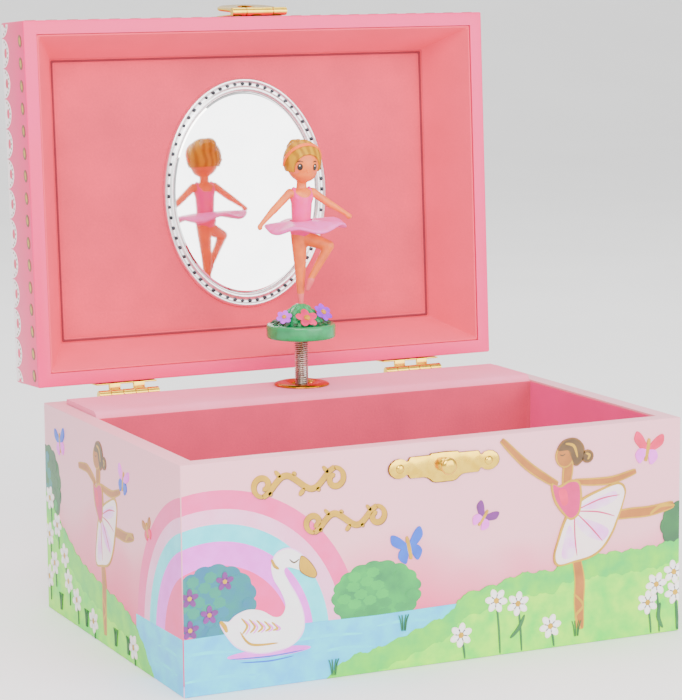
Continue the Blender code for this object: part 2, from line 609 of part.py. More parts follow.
def build_barrel():
    brass = material("barrel_brass", BRASS, 0.3, 1.0)
    steel = material("mainspring_steel", (0.35, 0.37, 0.42), 0.35, 1.0)
    at = place(SPINDLE_X, 0, BARREL_Z, ALONG_Y)
    centre = (SPINDLE_X, CROWN_PLANE, BARREL_Z)
    finish(disc("barrel_cover", 13.6, 27.0, 27.7, 32, at, 2.3), brass, centre, True)
    finish(disc("barrel_drum", 13.8, 27.8, 33.9, 32, at, 13.1), brass, centre, True)
    wheel = disc("crown_wheel", 13.6, 34.0, 35.6, 40, at, 2.3)
    bm = bmesh.new()
    for i in range(CROWN_TEETH):
        spoke = bmesh.ops.create_cube(bm, size=1.0)["verts"]
        bmesh.ops.scale(bm, vec=(2.6, 0.45, 1.8), verts=spoke)
        bmesh.ops.translate(bm, vec=(CROWN_R, 0, 36.2), verts=spoke)
        turn = Matrix.Rotation(math.tau * (i + 0.5) / CROWN_TEETH, 3, "Z")
        bmesh.ops.rotate(bm, cent=(0, 0, 0), matrix=turn, verts=spoke)
    teeth = from_bmesh("teeth", bm, at)
    finish(combine(wheel, [teeth]), brass, centre)
    turns = 4.0
    steps = 60
    outline_in, outline_out = [], []
    for i in range(steps + 1):
        angle = math.tau * turns * i / steps
        radius = 3.2 + 9.2 * i / steps
        outline_in.append((radius * math.cos(angle), radius * math.sin(angle)))
        outline_out.append(((radius + 0.4) * math.cos(angle), (radius + 0.4) * math.sin(angle)))
    spring = ribbon("mainspring", outline_in, outline_out, 28.4, 33.4, at)
    finish(spring, steel, centre, True)
    # arbor through the frame and the back wall, with the key on its end
    finish(disc("winding_arbor", 1.9, 26.6, 63.5, 16, at), material("arbor_steel", STEEL, 0.3, 1.0), centre, True)
    hub = [(2.0, 56.5), (3.1, 56.5), (3.1, 64.5), (0.0, 64.5), (0.0, 63.7), (2.0, 63.7)]
    hub = [(0.0, 63.7), (2.0, 63.7), (2.0, 56.5), (3.1, 56.5), (3.1, 64.8), (0.0, 64.8)]
    key = turned("winding_key", hub, 20, at)
    half = [(2.0, 62.0), (5.0, 62.4), (9.0, 62.0), (11.6, 64.2), (12.0, 68.0), (10.0, 71.2), (6.0, 71.6), (2.6, 69.0)]
    # the wing stands in a plane through the shaft, cut away where the bore runs
    wing = prism("wing", mirror_outline([(r, h) for r, h in half]), -0.8, 0.8,
                 place(SPINDLE_X, 0, BARREL_Z, Matrix(((0, 0, 1, 0), (0, 1, 0, 0), (1, 0, 0, 0), (0, 0, 0, 1)))))
    bore = disc("bore", 2.0, 50, 63.7, 20, at)
    combine(key, [wing])
    cut(key, bore)
    finish(key, material("key_brass", BRASS, 0.3, 1.0), centre)


def ribbon(name, inner, outer, h0, h1, matrix):
    bm = bmesh.new()
    grid = [[bm.verts.new((x, y, h)) for x, y in line] for line, h in
            ((inner, h0), (outer, h0), (outer, h1), (inner, h1))]
    for j in range(4):
        a, b = grid[j], grid[(j + 1) % 4]
        for i in range(len(inner) - 1):
            bm.faces.new((a[i], a[i + 1], b[i + 1], b[i]))
    for end in (0, -1):
        bm.faces.new([line[end] for line in grid])
    return from_bmesh(name, bm, matrix)


def build_train():
    brass = material("train_brass", BRASS, 0.3, 1.0)
    steel = material("train_steel", STEEL, 0.3, 1.0)
    y, z = SPINDLE_Y, BARREL_Z
    # vertical spindle: pinion below, plain shaft up into the dancer's spring
    at = place(SPINDLE_X, y)
    pinion = prism("spindle", gear_outline(PINION_TEETH, 2.3, 3.45, 0.5, -math.pi / 2), z + CROWN_R - 1.0, z + CROWN_R + 1.0, at)
    shaft = disc("shaft", 1.35, z + CROWN_R - 2.5, PLATFORM_TOP + 2.6, 14, at)
    finish(combine(pinion, [shaft]), steel, (SPINDLE_X, y, z + CROWN_R), False)
    # pinned cylinder, its pinion and its wheel
    axis = place(0, y, z, ALONG_X)
    body = disc("cylinder", CYLINDER_R, CYLINDER_X0, CYLINDER_X1, 32, axis)
    px = SPINDLE_X - CROWN_R
    # the outline's zero angle points down after the turn, so the phase puts a tooth towards the crown
    extra = [disc("shaft", 1.0, -44.5, px + 2.0, 12, axis),
             prism("pinion", gear_outline(PINION_TEETH, 2.3, 3.45, 0.5, -math.pi / 2), px - 1.0, px + 1.0, axis),
             prism("wheel", gear_outline(WHEEL_TEETH, 6.9, 7.85, 0.45), -40.4, -38.9, axis)]
    pins = bmesh.new()
    for i in range(36):
        column = (i * 7) % 18
        angle = math.tau * (i * 0.381966 % 1.0)
        x = CYLINDER_X0 + 0.6 + (column + 0.5) * (CYLINDER_X1 - CYLINDER_X0 - 1.2) / 18
        pin = bmesh.ops.create_cone(pins, cap_ends=True, segments=4, radius1=0.28, radius2=0.15, depth=1.6)["verts"]
        bmesh.ops.translate(pins, vec=(0, 0, CYLINDER_R - 0.05), verts=pin)
        bmesh.ops.rotate(pins, cent=(0, 0, 0), matrix=Matrix.Rotation(angle, 3, "X"), verts=pin)
        bmesh.ops.translate(pins, vec=(x, 0, 0), verts=pin)
    extra.append(from_bmesh("pins", pins, place(0, y, z)))
    finish(combine(body, extra), brass, (px, y, z))
    # governor: pinion, brake drum and two-bladed fan on one arbor
    axis = place(0, y, GOV_Z, ALONG_X)
    half_tooth = math.pi / GOV_TEETH
    gov = prism("governor", gear_outline(GOV_TEETH, 1.75, 2.85, 0.4, half_tooth), -40.4, -38.9, axis)
    vanes = [disc("arbor", 0.6, -54.5, -38.0, 12, axis),
             disc("drum", 2.5, -46.2, -44.2, 20, axis),
             block("vane_a", -53.5, -47.2, y - 0.3, y + 0.3, GOV_Z - 5.5, GOV_Z + 5.5)]
    finish(combine(gov, vanes), steel, (-45.0, y, GOV_Z))


def build_stop():
    steel = material("stop_steel", STEEL, 0.3, 1.0)
    x, y = SPINDLE_X + 4.2, PLATFORM_BACK - 0.3
    top = PLATFORM_TOP + 2.6
    wire = 0.4
    body = limb("stop_wire", (x, y, 55.0), (x, y, top), wire, wire, 8)
    extra = [ball("tip", (x, y, top), 0.55, rings=6, steps=8),
             block("run", -45.7, x + 0.45, y - 0.35, y + 0.35, 54.6, 55.4),
             block("reach", -45.6, -44.8, SPINDLE_Y - 0.6, y + 0.3, 54.65, 55.35),
             block("foot", -45.65, -44.75, SPINDLE_Y - 0.65, SPINDLE_Y + 0.65, GOV_Z + 5.5, 55.0)]
    finish(combine(body, extra), steel, (x, y, top))


build_casing()
build_platform()
build_spring()
build_garden()
build_dancer()
build_lid()
build_hinge(-1, "left")
build_hinge(1, "right")
build_latch()
build_hasp()
build_frame()
build_barrel()
build_train()
build_stop()
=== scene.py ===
"""Add-on that builds the looks of a musical jewellery box with a turning dancer."""
import math

import bmesh
import bpy
from mathutils import Matrix, Vector, noise


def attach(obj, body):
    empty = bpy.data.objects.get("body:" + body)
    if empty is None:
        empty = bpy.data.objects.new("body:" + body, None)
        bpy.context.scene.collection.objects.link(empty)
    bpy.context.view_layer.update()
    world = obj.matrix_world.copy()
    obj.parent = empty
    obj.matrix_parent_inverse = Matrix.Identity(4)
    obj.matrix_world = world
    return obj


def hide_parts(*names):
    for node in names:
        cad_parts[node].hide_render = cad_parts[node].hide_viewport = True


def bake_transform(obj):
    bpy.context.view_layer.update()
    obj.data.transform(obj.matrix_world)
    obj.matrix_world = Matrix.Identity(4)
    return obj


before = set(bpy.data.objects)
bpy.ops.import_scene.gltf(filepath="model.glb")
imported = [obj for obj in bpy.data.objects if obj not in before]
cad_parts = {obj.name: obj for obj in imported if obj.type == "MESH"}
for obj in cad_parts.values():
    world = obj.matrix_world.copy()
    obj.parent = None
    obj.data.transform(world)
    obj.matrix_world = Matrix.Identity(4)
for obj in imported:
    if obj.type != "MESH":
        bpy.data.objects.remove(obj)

bl_info = {
    "name": "Musical jewellery box",
    "version": (1, 0, 0),
    "blender": (4, 5, 0),
    "location": "View3D > Sidebar > Jewellery box",
    "description": "Builds the printed casing, lid, dancer, fittings and stage",
    "category": "Object",
}

MM = 0.001
BOX_W, BOX_D, BOX_H = 152.0, 108.3, 61.9
LID_RIM, LID_TOP = 62.3, 83.0
HINGE_Y, HINGE_Z = 57.8, 61.85
OPEN_DEG = 93.08
LINING_FACE = 79.7
PLATFORM_TOP = 63.4
SPINDLE_X, SPINDLE_Y = 1.0, 39.5
DISC_BOTTOM = PLATFORM_TOP + 14.5
DISC_TOP = DISC_BOTTOM + 4.2
FRONT = -BOX_D / 2

OPEN = (Matrix.Translation((0, HINGE_Y, HINGE_Z)) @ Matrix.Rotation(math.radians(-OPEN_DEG), 4, "X")
        @ Matrix.Translation((0, -HINGE_Y, -HINGE_Z)))
TO_METRES = Matrix.Diagonal((MM, MM, MM, 1.0))
ALONG_X = Matrix.Rotation(math.radians(90), 4, "Y")
UPRIGHT = Matrix.Rotation(math.radians(90), 4, "X")
AT_DANCER = Matrix.Translation((SPINDLE_X, SPINDLE_Y, PLATFORM_TOP))


# ------------------------------------------------------------------ settings
class BoxSettings(bpy.types.PropertyGroup):
    cloth_grain: bpy.props.FloatProperty(name="Cloth grain", description="Size of the cloth's fine grain",
                                         default=0.0006, unit="LENGTH")
    print_step: bpy.props.FloatProperty(name="Print layer", description="Height of one layer of print",
                                        default=0.000003, unit="LENGTH")
    bead_count: bpy.props.IntProperty(name="Frame beads", description="Beads round the mirror frame", default=64)
    seed: bpy.props.IntProperty(name="Seed", description="Seed of the scattered leaves and dabs", default=7)
    lens: bpy.props.FloatProperty(name="Lens", description="Focal length in millimetres", default=132.28)
    azimuth: bpy.props.FloatProperty(name="Azimuth", description="Camera angle round the box",
                                     default=math.radians(-25.208), subtype="ANGLE", unit="ROTATION")
    elevation: bpy.props.FloatProperty(name="Elevation", description="Camera angle above the table",
                                       default=math.radians(8.638), subtype="ANGLE", unit="ROTATION")
    roll: bpy.props.FloatProperty(name="Roll", description="Camera roll", default=math.radians(-0.486),
                                  subtype="ANGLE", unit="ROTATION")


def settings():
    return bpy.context.scene.jewellery_box


# ------------------------------------------------------------------ materials
def linear(code):
    """sRGB hex to linear RGBA."""
    parts = [int(code[i:i + 2], 16) / 255 for i in (1, 3, 5)]
    return tuple(c / 12.92 if c <= 0.04045 else ((c + 0.055) / 1.055) ** 2.4 for c in parts) + (1.0,)


def add(tree, kind, links=(), **values):
    """One node, its input values by name, and its links as (input, source node, output)."""
    node = tree.nodes.new(kind)
    for key, value in values.items():
        if key in node.inputs:
            node.inputs[key].default_value = value
        else:
            setattr(node, key, value)
    for name, source, output in links:
        tree.links.new(source.outputs[output], node.inputs[name])
    return node


def blank(name, rough=0.5, metallic=0.0):
    mat = bpy.data.materials.new(name)
    mat.use_nodes = True
    tree = mat.node_tree
    shader = tree.nodes["Principled BSDF"]
    shader.inputs["Roughness"].default_value = rough
    shader.inputs["Metallic"].default_value = metallic
    shader.inputs["IOR"].default_value = 1.5
    return mat, tree, shader


def ramp(tree, source, output, stops):
    node = add(tree, "ShaderNodeValToRGB", [("Fac", source, output)])
    while len(node.color_ramp.elements) < len(stops):
        node.color_ramp.elements.new(0.5)
    for element, (place, colour) in zip(node.color_ramp.elements, stops):
        element.position = place
        element.color = colour
    return node


def bump(tree, shader, source, output, depth, strength=1.0):
    node = add(tree, "ShaderNodeBump", [("Height", source, output)])
    node.inputs["Distance"].default_value = depth
    node.inputs["Strength"].default_value = strength
    tree.links.new(node.outputs["Normal"], shader.inputs["Normal"])


MATERIALS = {}


def once(name, maker, *args):
    if name not in MATERIALS:
        MATERIALS[name] = maker(name, *args)
    return MATERIALS[name]


def ink(name, light, dark, size=0.006, rough=0.42):
    """Watercolour print: two tones of one colour in soft blots, under a thin varnish."""
    mat, tree, shader = blank(name, rough)
    place = add(tree, "ShaderNodeTexCoord")
    blots = add(tree, "ShaderNodeTexNoise", [("Vector", place, "Object")], Scale=1 / size, Detail=3.0)
    tone = ramp(tree, blots, "Fac", [(0.32, linear(light)), (0.68, linear(dark))])
    tree.links.new(tone.outputs["Color"], shader.inputs["Base Color"])
    fibre = add(tree, "ShaderNodeTexNoise", [("Vector", place, "Object")], Scale=3000.0, Detail=2.0)
    bump(tree, shader, fibre, "Fac", 0.00001)
    shader.inputs["Coat Weight"].default_value = 0.15
    shader.inputs["Coat Roughness"].default_value = 0.3
    return mat


def sky_paper(name):
    """Printed wrap: pale lilac sky with pink clouds, deeper pink towards the foot."""
    mat, tree, shader = blank(name, 0.42)
    place = add(tree, "ShaderNodeTexCoord")
    parts = add(tree, "ShaderNodeSeparateXYZ", [("Vector", place, "Object")])
    height = add(tree, "ShaderNodeMapRange", [("Value", parts, "Z")])
    height.inputs["From Min"].default_value = 0.010
    height.inputs["From Max"].default_value = 0.060
    wash = add(tree, "ShaderNodeTexNoise", [("Vector", place, "Object")], Scale=22.0, Detail=2.0)
    mix = add(tree, "ShaderNodeMath", [(0, wash, "Fac")], operation="MULTIPLY_ADD")
    mix.inputs[1].default_value = 0.9
    tree.links.new(height.outputs["Result"], mix.inputs[2])
    tone = ramp(tree, mix, "Value", [(0.45, linear("#F74581")), (0.8, linear("#F789A5")), (1.0, linear("#F7AEBE"))])
    tree.links.new(tone.outputs["Color"], shader.inputs["Base Color"])
    fibre = add(tree, "ShaderNodeTexNoise", [("Vector", place, "Object")], Scale=3000.0, Detail=2.0)
    bump(tree, shader, fibre, "Fac", 0.00001)
    shader.inputs["Coat Weight"].default_value = 0.15
    shader.inputs["Coat Roughness"].default_value = 0.3
    return mat


def smooth_paper(name, light, dark, rough=0.45):
    """Plain coated paper: almost even colour, faint fibre."""
    mat = ink(name, light, dark, 0.03, rough)
    return mat


def flock(name, light, dark):
    """Flocked cloth: short pile, soft blotches where it is brushed, and a sheen at the edges."""
    mat, tree, shader = blank(name, 0.95)
    place = add(tree, "ShaderNodeTexCoord")
    brushed = add(tree, "ShaderNodeTexNoise", [("Vector", place, "Object")], Scale=60.0, Detail=4.0)
    pile = add(tree, "ShaderNodeTexNoise", [("Vector", place, "Object")], Scale=1 / settings().cloth_grain, Detail=2.0)
    blend = add(tree, "ShaderNodeMath", [(0, pile, "Fac"), (2, brushed, "Fac")], operation="MULTIPLY_ADD")
    blend.inputs[1].default_value = 0.35
    tone = ramp(tree, blend, "Value", [(0.2, linear(dark)), (1.0, linear(light))])
    tree.links.new(tone.outputs["Color"], shader.inputs["Base Color"])
    bump(tree, shader, pile, "Fac", 0.00006, 0.8)
    shader.inputs["Sheen Weight"].default_value = 0.5
    shader.inputs["Sheen Roughness"].default_value = 0.5
    shader.inputs["Sheen Tint"].default_value = linear(light)
    shader.inputs["Specular IOR Level"].default_value = 0.2
    return mat


def metal(name, colour, dark, rough, scratch=0.00001):
    """Plated or drawn metal: fine wear in the roughness and faint scratches."""
    mat, tree, shader = blank(name, rough, 1.0)
    place = add(tree, "ShaderNodeTexCoord")
    stretch = add(tree, "ShaderNodeMapping", [("Vector", place, "Object")], Scale=(300.0, 2400.0, 2400.0))
    lines = add(tree, "ShaderNodeTexNoise", [("Vector", stretch, "Vector")], Scale=1.0, Detail=3.0)
    wear = add(tree, "ShaderNodeTexNoise", [("Vector", place, "Object")], Scale=400.0, Detail=4.0)
    tone = ramp(tree, wear, "Fac", [(0.35, linear(dark)), (0.6, linear(colour))])
    tree.links.new(tone.outputs["Color"], shader.inputs["Base Color"])
    spread = add(tree, "ShaderNodeMapRange", [("Value", lines, "Fac")])
    spread.inputs["To Min"].default_value = rough * 0.7
    spread.inputs["To Max"].default_value = rough * 1.4
    tree.links.new(spread.outputs["Result"], shader.inputs["Roughness"])
    bump(tree, shader, lines, "Fac", scratch, 0.5)
    return mat


def paint(name, light, dark, rough=0.4, soft=0.0):
    """Hand-painted cast resin: slightly uneven colour, satin, a little light passing through."""
    mat, tree, shader = blank(name, rough)
    place = add(tree, "ShaderNodeTexCoord")
    uneven = add(tree, "ShaderNodeTexNoise", [("Vector", place, "Object")], Scale=350.0, Detail=3.0)
    tone = ramp(tree, uneven, "Fac", [(0.35, linear(light)), (0.7, linear(dark))])
    tree.links.new(tone.outputs["Color"], shader.inputs["Base Color"])
    bump(tree, shader, uneven, "Fac", 0.00004, 0.6)
    shader.inputs["Subsurface Weight"].default_value = soft
    shader.inputs["Subsurface Radius"].default_value = (0.002, 0.001, 0.0006)
    return mat


def hair_paint(name):
    """Painted cast hair: grooves follow the comb direction."""
    mat, tree, shader = blank(name, 0.45)
    place = add(tree, "ShaderNodeTexCoord")
    grooves = add(tree, "ShaderNodeTexWave", [("Vector", place, "Object")], Scale=160.0, Distortion=4.0, Detail=2.0)
    tone = ramp(tree, grooves, "Color", [(0.1, linear("#A87000")), (0.8, linear("#C89200"))])
    tree.links.new(tone.outputs["Color"], shader.inputs["Base Color"])
    bump(tree, shader, grooves, "Color", 0.00004, 0.5)
    shader.inputs["Specular IOR Level"].default_value = 0.2
    return mat


def looking_glass(name):
    """Silvered glass: a near-perfect mirror with a trace of haze."""
    mat, tree, shader = blank(name, 0.03, 1.0)
    place = add(tree, "ShaderNodeTexCoord")
    haze = add(tree, "ShaderNodeTexNoise", [("Vector", place, "Object")], Scale=90.0, Detail=3.0)
    spread = add(tree, "ShaderNodeMapRange", [("Value", haze, "Fac")])
    spread.inputs["To Min"].default_value = 0.02
    spread.inputs["To Max"].default_value = 0.06
    tree.links.new(spread.outputs["Result"], shader.inputs["Roughness"])
    tone = ramp(tree, haze, "Fac", [(0.3, linear("#F4F6F7")), (0.7, linear("#FFFFFF"))])
    tree.links.new(tone.outputs["Color"], shader.inputs["Base Color"])
    return mat


def brass():
    return once("polished_brass", metal, "#CC8410", "#AE6C0A", 0.2, 0.000002)


def gold():
    return once("pale_gold_plate", metal, "#F4CC4E", "#E8BC3E", 0.18, 0.000002)


def steel():
    return once("drawn_steel", metal, "#C9B8AE", "#B5A49A", 0.25, 0.000002)


def suede():
    return once("pink_flocked_cloth", flock, "#F792B2", "#F7789A")


# ------------------------------------------------------------------ shapes, in millimetres
def keep(name, bm, body, mats, matrix=None, smooth=True, stands_for=(), sharp=32.0, ride=True):
    """Turns a millimetre bmesh into a finished piece that moves with a body."""
    if matrix is not None:
        bm.transform(matrix)
    bm.transform(TO_METRES)
    bmesh.ops.recalc_face_normals(bm, faces=bm.faces)
    mesh = bpy.data.meshes.new(name)
    bm.to_mesh(mesh)
    bm.free()
    for mat in mats if isinstance(mats, (list, tuple)) else [mats]:
        mesh.materials.append(mat)
    if smooth:
        mesh.shade_smooth()
        mesh.set_sharp_from_angle(angle=math.radians(sharp))
    obj = bpy.data.objects.new(name, mesh)
    bpy.context.scene.collection.objects.link(obj)
    if stands_for:
        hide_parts(*stands_for)
    if ride:
        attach(obj, body)
    return obj


def evaluated_bmesh(obj):
    graph = bpy.context.evaluated_depsgraph_get()
    mesh = bpy.data.meshes.new_from_object(obj.evaluated_get(graph))
    bm = bmesh.new()
    bm.from_mesh(mesh)
    bpy.data.meshes.remove(mesh)
    bpy.data.objects.remove(obj, do_unlink=True)
    return bm


def temp(bm, name="temp"):
    mesh = bpy.data.meshes.new(name)
    bmesh.ops.recalc_face_normals(bm, faces=bm.faces)
    bm.to_mesh(mesh)
    bm.free()
    obj = bpy.data.objects.new(name, mesh)
    bpy.context.scene.collection.objects.link(obj)
    return obj


def cube_bm(x0, x1, y0, y1, z0, z1, bevel=0.0, segments=3):
    bm = bmesh.new()
    bmesh.ops.create_cube(bm, size=1.0)
    bmesh.ops.scale(bm, vec=(x1 - x0, y1 - y0, z1 - z0), verts=bm.verts)
    bmesh.ops.translate(bm, vec=((x0 + x1) / 2, (y0 + y1) / 2, (z0 + z1) / 2), verts=bm.verts)
    if bevel:
        bmesh.ops.bevel(bm, geom=bm.edges[:], offset=bevel, segments=segments, affect="EDGES", profile=0.5)
    return bm


def spun(profile, steps=48, matrix=None):
    """Solid or ring turned about Z from (radius, height) pairs; radius 0 closes it."""
    bm = bmesh.new()
    verts = [bm.verts.new((r, 0.0, h)) for r, h in profile]
    edges = [bm.edges.new(pair) for pair in zip(verts, verts[1:])]
    if profile[0][0] > 0.0:
        edges.append(bm.edges.new((verts[-1], verts[0])))
    bmesh.ops.spin(bm, geom=verts + edges, cent=(0, 0, 0), axis=(0, 0, 1), angle=math.tau, steps=steps, use_merge=True)
    bmesh.ops.remove_doubles(bm, verts=bm.verts, dist=1e-4)
    bmesh.ops.dissolve_degenerate(bm, dist=1e-5, edges=bm.edges)
    if matrix is not None:
        bm.transform(matrix)
    return bm


def ball_bm(centre, radius, squash=(1, 1, 1), steps=24, turn=None):
    bm = bmesh.new()
    bmesh.ops.create_uvsphere(bm, u_segments=steps, v_segments=steps * 2 // 3, radius=radius)
    bmesh.ops.scale(bm, vec=squash, verts=bm.verts)
    if turn is not None:
        bmesh.ops.rotate(bm, cent=(0, 0, 0), matrix=turn, verts=bm.verts)
    bmesh.ops.translate(bm, vec=centre, verts=bm.verts)
    return bm


def limb_bm(a, b, ra, rb, steps=20):
    """Tapered limb with round ends."""
    a, b = Vector(a), Vector(b)
    bm = bmesh.new()
    bmesh.ops.create_cone(bm, cap_ends=True, segments=steps, radius1=ra, radius2=rb, depth=(b - a).length)
    bmesh.ops.rotate(bm, cent=(0, 0, 0), matrix=(b - a).to_track_quat("Z", "Y").to_matrix(), verts=bm.verts)
    bmesh.ops.translate(bm, vec=(a + b) / 2, verts=bm.verts)
    merge(bm, ball_bm(a, ra, steps=16))
    merge(bm, ball_bm(b, rb, steps=16))
    return bm


def merge(base, *others):
    for other in others:
        mesh = bpy.data.meshes.new("join")
        other.to_mesh(mesh)
        other.free()
        base.from_mesh(mesh)
        bpy.data.meshes.remove(mesh)
    return base


def melt(bm, voxel, smooth_steps):
    """Fuses overlapping solids into one soft skin."""
    obj = temp(bm)
    mod = obj.modifiers.new("fuse", "REMESH")
    mod.mode = "VOXEL"
    mod.voxel_size = voxel
    soft = obj.modifiers.new("soft", "SMOOTH")
    soft.factor = 0.5
    soft.iterations = smooth_steps
    return evaluated_bmesh(obj)


def carve(bm, *cutters):
    obj = temp(bm)
    tools = []
    for cutter in cutters:
        tool = temp(cutter, "cutter")
        tools.append(tool)
        mod = obj.modifiers.new("cut", "BOOLEAN")
        mod.operation = "DIFFERENCE"
        mod.solver = "EXACT"
        mod.object = tool
    result = evaluated_bmesh(obj)
    for tool in tools:
        bpy.data.objects.remove(tool, do_unlink=True)
    return result


def plate_bm(outline, z0, z1, bevel=0.0, segments=2):
    bm = bmesh.new()
    face = bm.faces.new([bm.verts.new((x, y, z0)) for x, y in outline])
    grown = bmesh.ops.extrude_face_region(bm, geom=[face])
    top = [v for v in grown["geom"] if isinstance(v, bmesh.types.BMVert)]
    bmesh.ops.translate(bm, vec=(0, 0, z1 - z0), verts=top)
    bmesh.ops.recalc_face_normals(bm, faces=bm.faces)
    if bevel:
        rims = [e for e in bm.edges if len(e.link_faces) == 2 and e.calc_face_angle(0.0) > math.radians(60)]
        bmesh.ops.bevel(bm, geom=rims, offset=bevel, segments=segments, affect="EDGES", profile=0.5)
    bmesh.ops.triangulate(bm, faces=[f for f in bm.faces if len(f.verts) > 4])
    return bm


# ------------------------------------------------------------------ flat drawing
def through(points, closed=True, per=8):
    """Smooth curve through a few points."""
    n = len(points)
    out = []
    spans = n if closed else n - 1
    for i in range(spans):
        if closed:
            p = [points[(i + k - 1) % n] for k in range(4)]
        else:
            p = [points[min(max(i + k - 1, 0), n - 1)] for k in range(4)]
        for j in range(per):
            t = j / per
            out.append(tuple(0.5 * (2 * b + (c - a) * t + (2 * a - 5 * b + 4 * c - d) * t * t
                                    + (3 * b - a - 3 * c + d) * t ** 3) for a, b, c, d in zip(*p)))
    if not closed:
        out.append(points[-1])
    return out


def stroke(points, width, ends=0.3, per=8):
    """Brush line through a few points, full in the middle and thin at the ends."""
    line = through(points, False, per)
    left, right = [], []
    last = len(line) - 1
    for i, (x, y) in enumerate(line):
        ax, ay = line[max(i - 1, 0)]
        bx, by = line[min(i + 1, last)]
        length = math.hypot(bx - ax, by - ay) or 1.0
        half = width / 2 * (ends + (1 - ends) * math.sin(math.pi * i / last) ** 0.6)
        nx, ny = -(by - ay) / length * half, (bx - ax) / length * half
        left.append((x + nx, y + ny))
        right.append((x - nx, y - ny))
    return left + right[::-1]


def oval(cx, cy, rx, ry=None, turn=0.0, n=28):
    ry = rx if ry is None else ry
    c, s = math.cos(math.radians(turn)), math.sin(math.radians(turn))
    points = [(rx * math.cos(math.tau * i / n), ry * math.sin(math.tau * i / n)) for i in range(n)]
    return [(cx + x * c - y * s, cy + x * s + y * c) for x, y in points]


def lobes(cx, cy, rx, ry, count, depth, start=0.0, n=96):
    """Rounded outline with scalloped edge, for a bush or a bloom."""
    out = []
    for i in range(n):
        a = math.tau * i / n + start
        reach = 1 - depth + depth * abs(math.sin(count * (a - start) / 2)) ** 0.6
        out.append((cx + rx * reach * math.cos(a), cy + ry * reach * math.sin(a)))
    return out


def arch(cx, cy, rx, ry, inner, n=48):
    outer = [(cx + rx * math.cos(math.pi * i / n), cy + ry * math.sin(math.pi * i / n)) for i in range(n + 1)]
    under = [(cx + (x - cx) * inner, cy + (y - cy) * inner) for x, y in outer]
    return outer + under[::-1]


def clip(points, x0, x1, y0, y1):
    """Cuts a polygon to the printed face."""
    def half(poly, inside, cross):
        out = []
        for a, b in zip(poly, poly[1:] + poly[:1]):
            if inside(a):
                out.append(a)
            if inside(a) != inside(b):
                out.append(cross(a, b))
        return out

    def at_x(x):
        return lambda a, b: (x, a[1] + (b[1] - a[1]) * (x - a[0]) / (b[0] - a[0]))

    def at_y(y):
        return lambda a, b: (a[0] + (b[0] - a[0]) * (y - a[1]) / (b[1] - a[1]), y)

    for inside, cross in ((lambda p: p[0] >= x0, at_x(x0)), (lambda p: p[0] <= x1, at_x(x1)),
                          (lambda p: p[1] >= y0, at_y(y0)), (lambda p: p[1] <= y1, at_y(y1))):
        points = half(points, inside, cross)
        if not points:
            return []
    return points


INKS = {
    "umber": ("#6A4A1C", "#4A3010"),
    "sage": ("#14B543", "#12A743"), "pine": ("#129845", "#1A8541"), "azure": ("#127694", "#127D8E"), "jade": ("#129176", "#128871"),
    "rose": ("#F74491", "#F757A0"), "cream": ("#F7B2DA", "#F7A1CD"), "aqua": ("#26D8E9", "#52E7F4"),
    "lilac": ("#EB5BE5", "#F76DF7"), "blush": ("#F72F80", "#F74094"), "lake": ("#12BAF7", "#12DEF7"),
    "teal": ("#128575", "#156C93"), "leaf": ("#12AC43", "#158043"), "deep": ("#2A7237", "#255D36"),
    "hill": ("#71DF12", "#2CC545"), "white": ("#FAFAFA", "#F6EEF8"), "pearl": ("#F4F6F6", "#F8EAF4"),
    "gilt": ("#D0A000", "#B88A00"), "amber": ("#B87000", "#A46000"), "tan": ("#BA6E1E", "#A05C12"),
    "candy": ("#DA1276", "#CB1262"), "plum": ("#672171", "#7A1D89"), "sky": ("#1549CC", "#1261DE"),
    "brown": ("#5A4020", "#423017"), "rosy": ("#D81248", "#F71268"), "haze": ("#F7E3F7", "#F79AF4"),
    "gauze": ("#FDE9EA", "#FBE2E6"), "lace": ("#FFF6F8", "#FCEBF0"), "bronze": ("#8A5A08", "#6A4406"),
    "mist": ("#12EBF7", "#12CBF7"), "meadow": ("#A0F712", "#42DF34"),
}


class Sheet:
    """Collects flat shapes for one board face and turns them into thin solid layers of ink."""

    def __init__(self, name, matrix, left, right, low, high, body):
        self.name, self.matrix, self.body = name, matrix, body
        self.window = (left, right, low, high)
        self.shapes = []
        self.level = 1

    def put(self, ink_name, *shapes):
        self.level += 1
        self.shapes += [(ink_name, self.level, clip(shape, *self.window)) for shape in shapes]

    def finish(self):
        step = settings().print_step / MM
        names = sorted({name for name, level, shape in self.shapes})
        whole = bmesh.new()
        for name, level, shape in self.shapes:
            kept = [p for p, q in zip(shape, shape[1:] + shape[:1]) if math.dist(p, q) > 0.02]
            if len(kept) < 3:
                continue
            layer = plate_bm(kept, 0.002, step * level)
            for face in layer.faces:
                face.material_index = names.index(name)
            merge(whole, layer)
        mats = [once("ink_" + name, ink, *INKS[name]) for name in names]
        return keep(self.name, whole, self.body, mats, self.matrix, smooth=False)


def butterfly(sheet, x, y, size, turn, upper, lower):
    c, s = math.cos(math.radians(turn)), math.sin(math.radians(turn))

    def at(u, v):
        return x + size * (u * c - v * s), y + size * (u * s + v * c)

    for side in (-1, 1):
        wing = through([at(0, 0.1), at(side * 0.45, 0.75), at(side * 0.85, 0.95), at(side * 0.9, 0.45), at(side * 0.4, 0.05)])
        tail = through([at(0, 0.0), at(side * 0.5, 0.05), at(side * 0.7, -0.35), at(side * 0.35, -0.75), at(side * 0.1, -0.3)])
        sheet.put(upper, wing)
        sheet.put(lower, tail)
    sheet.put("gilt", stroke([at(0, -0.6), at(0, 0.0), at(0, 0.65)], size * 0.22, 0.5))


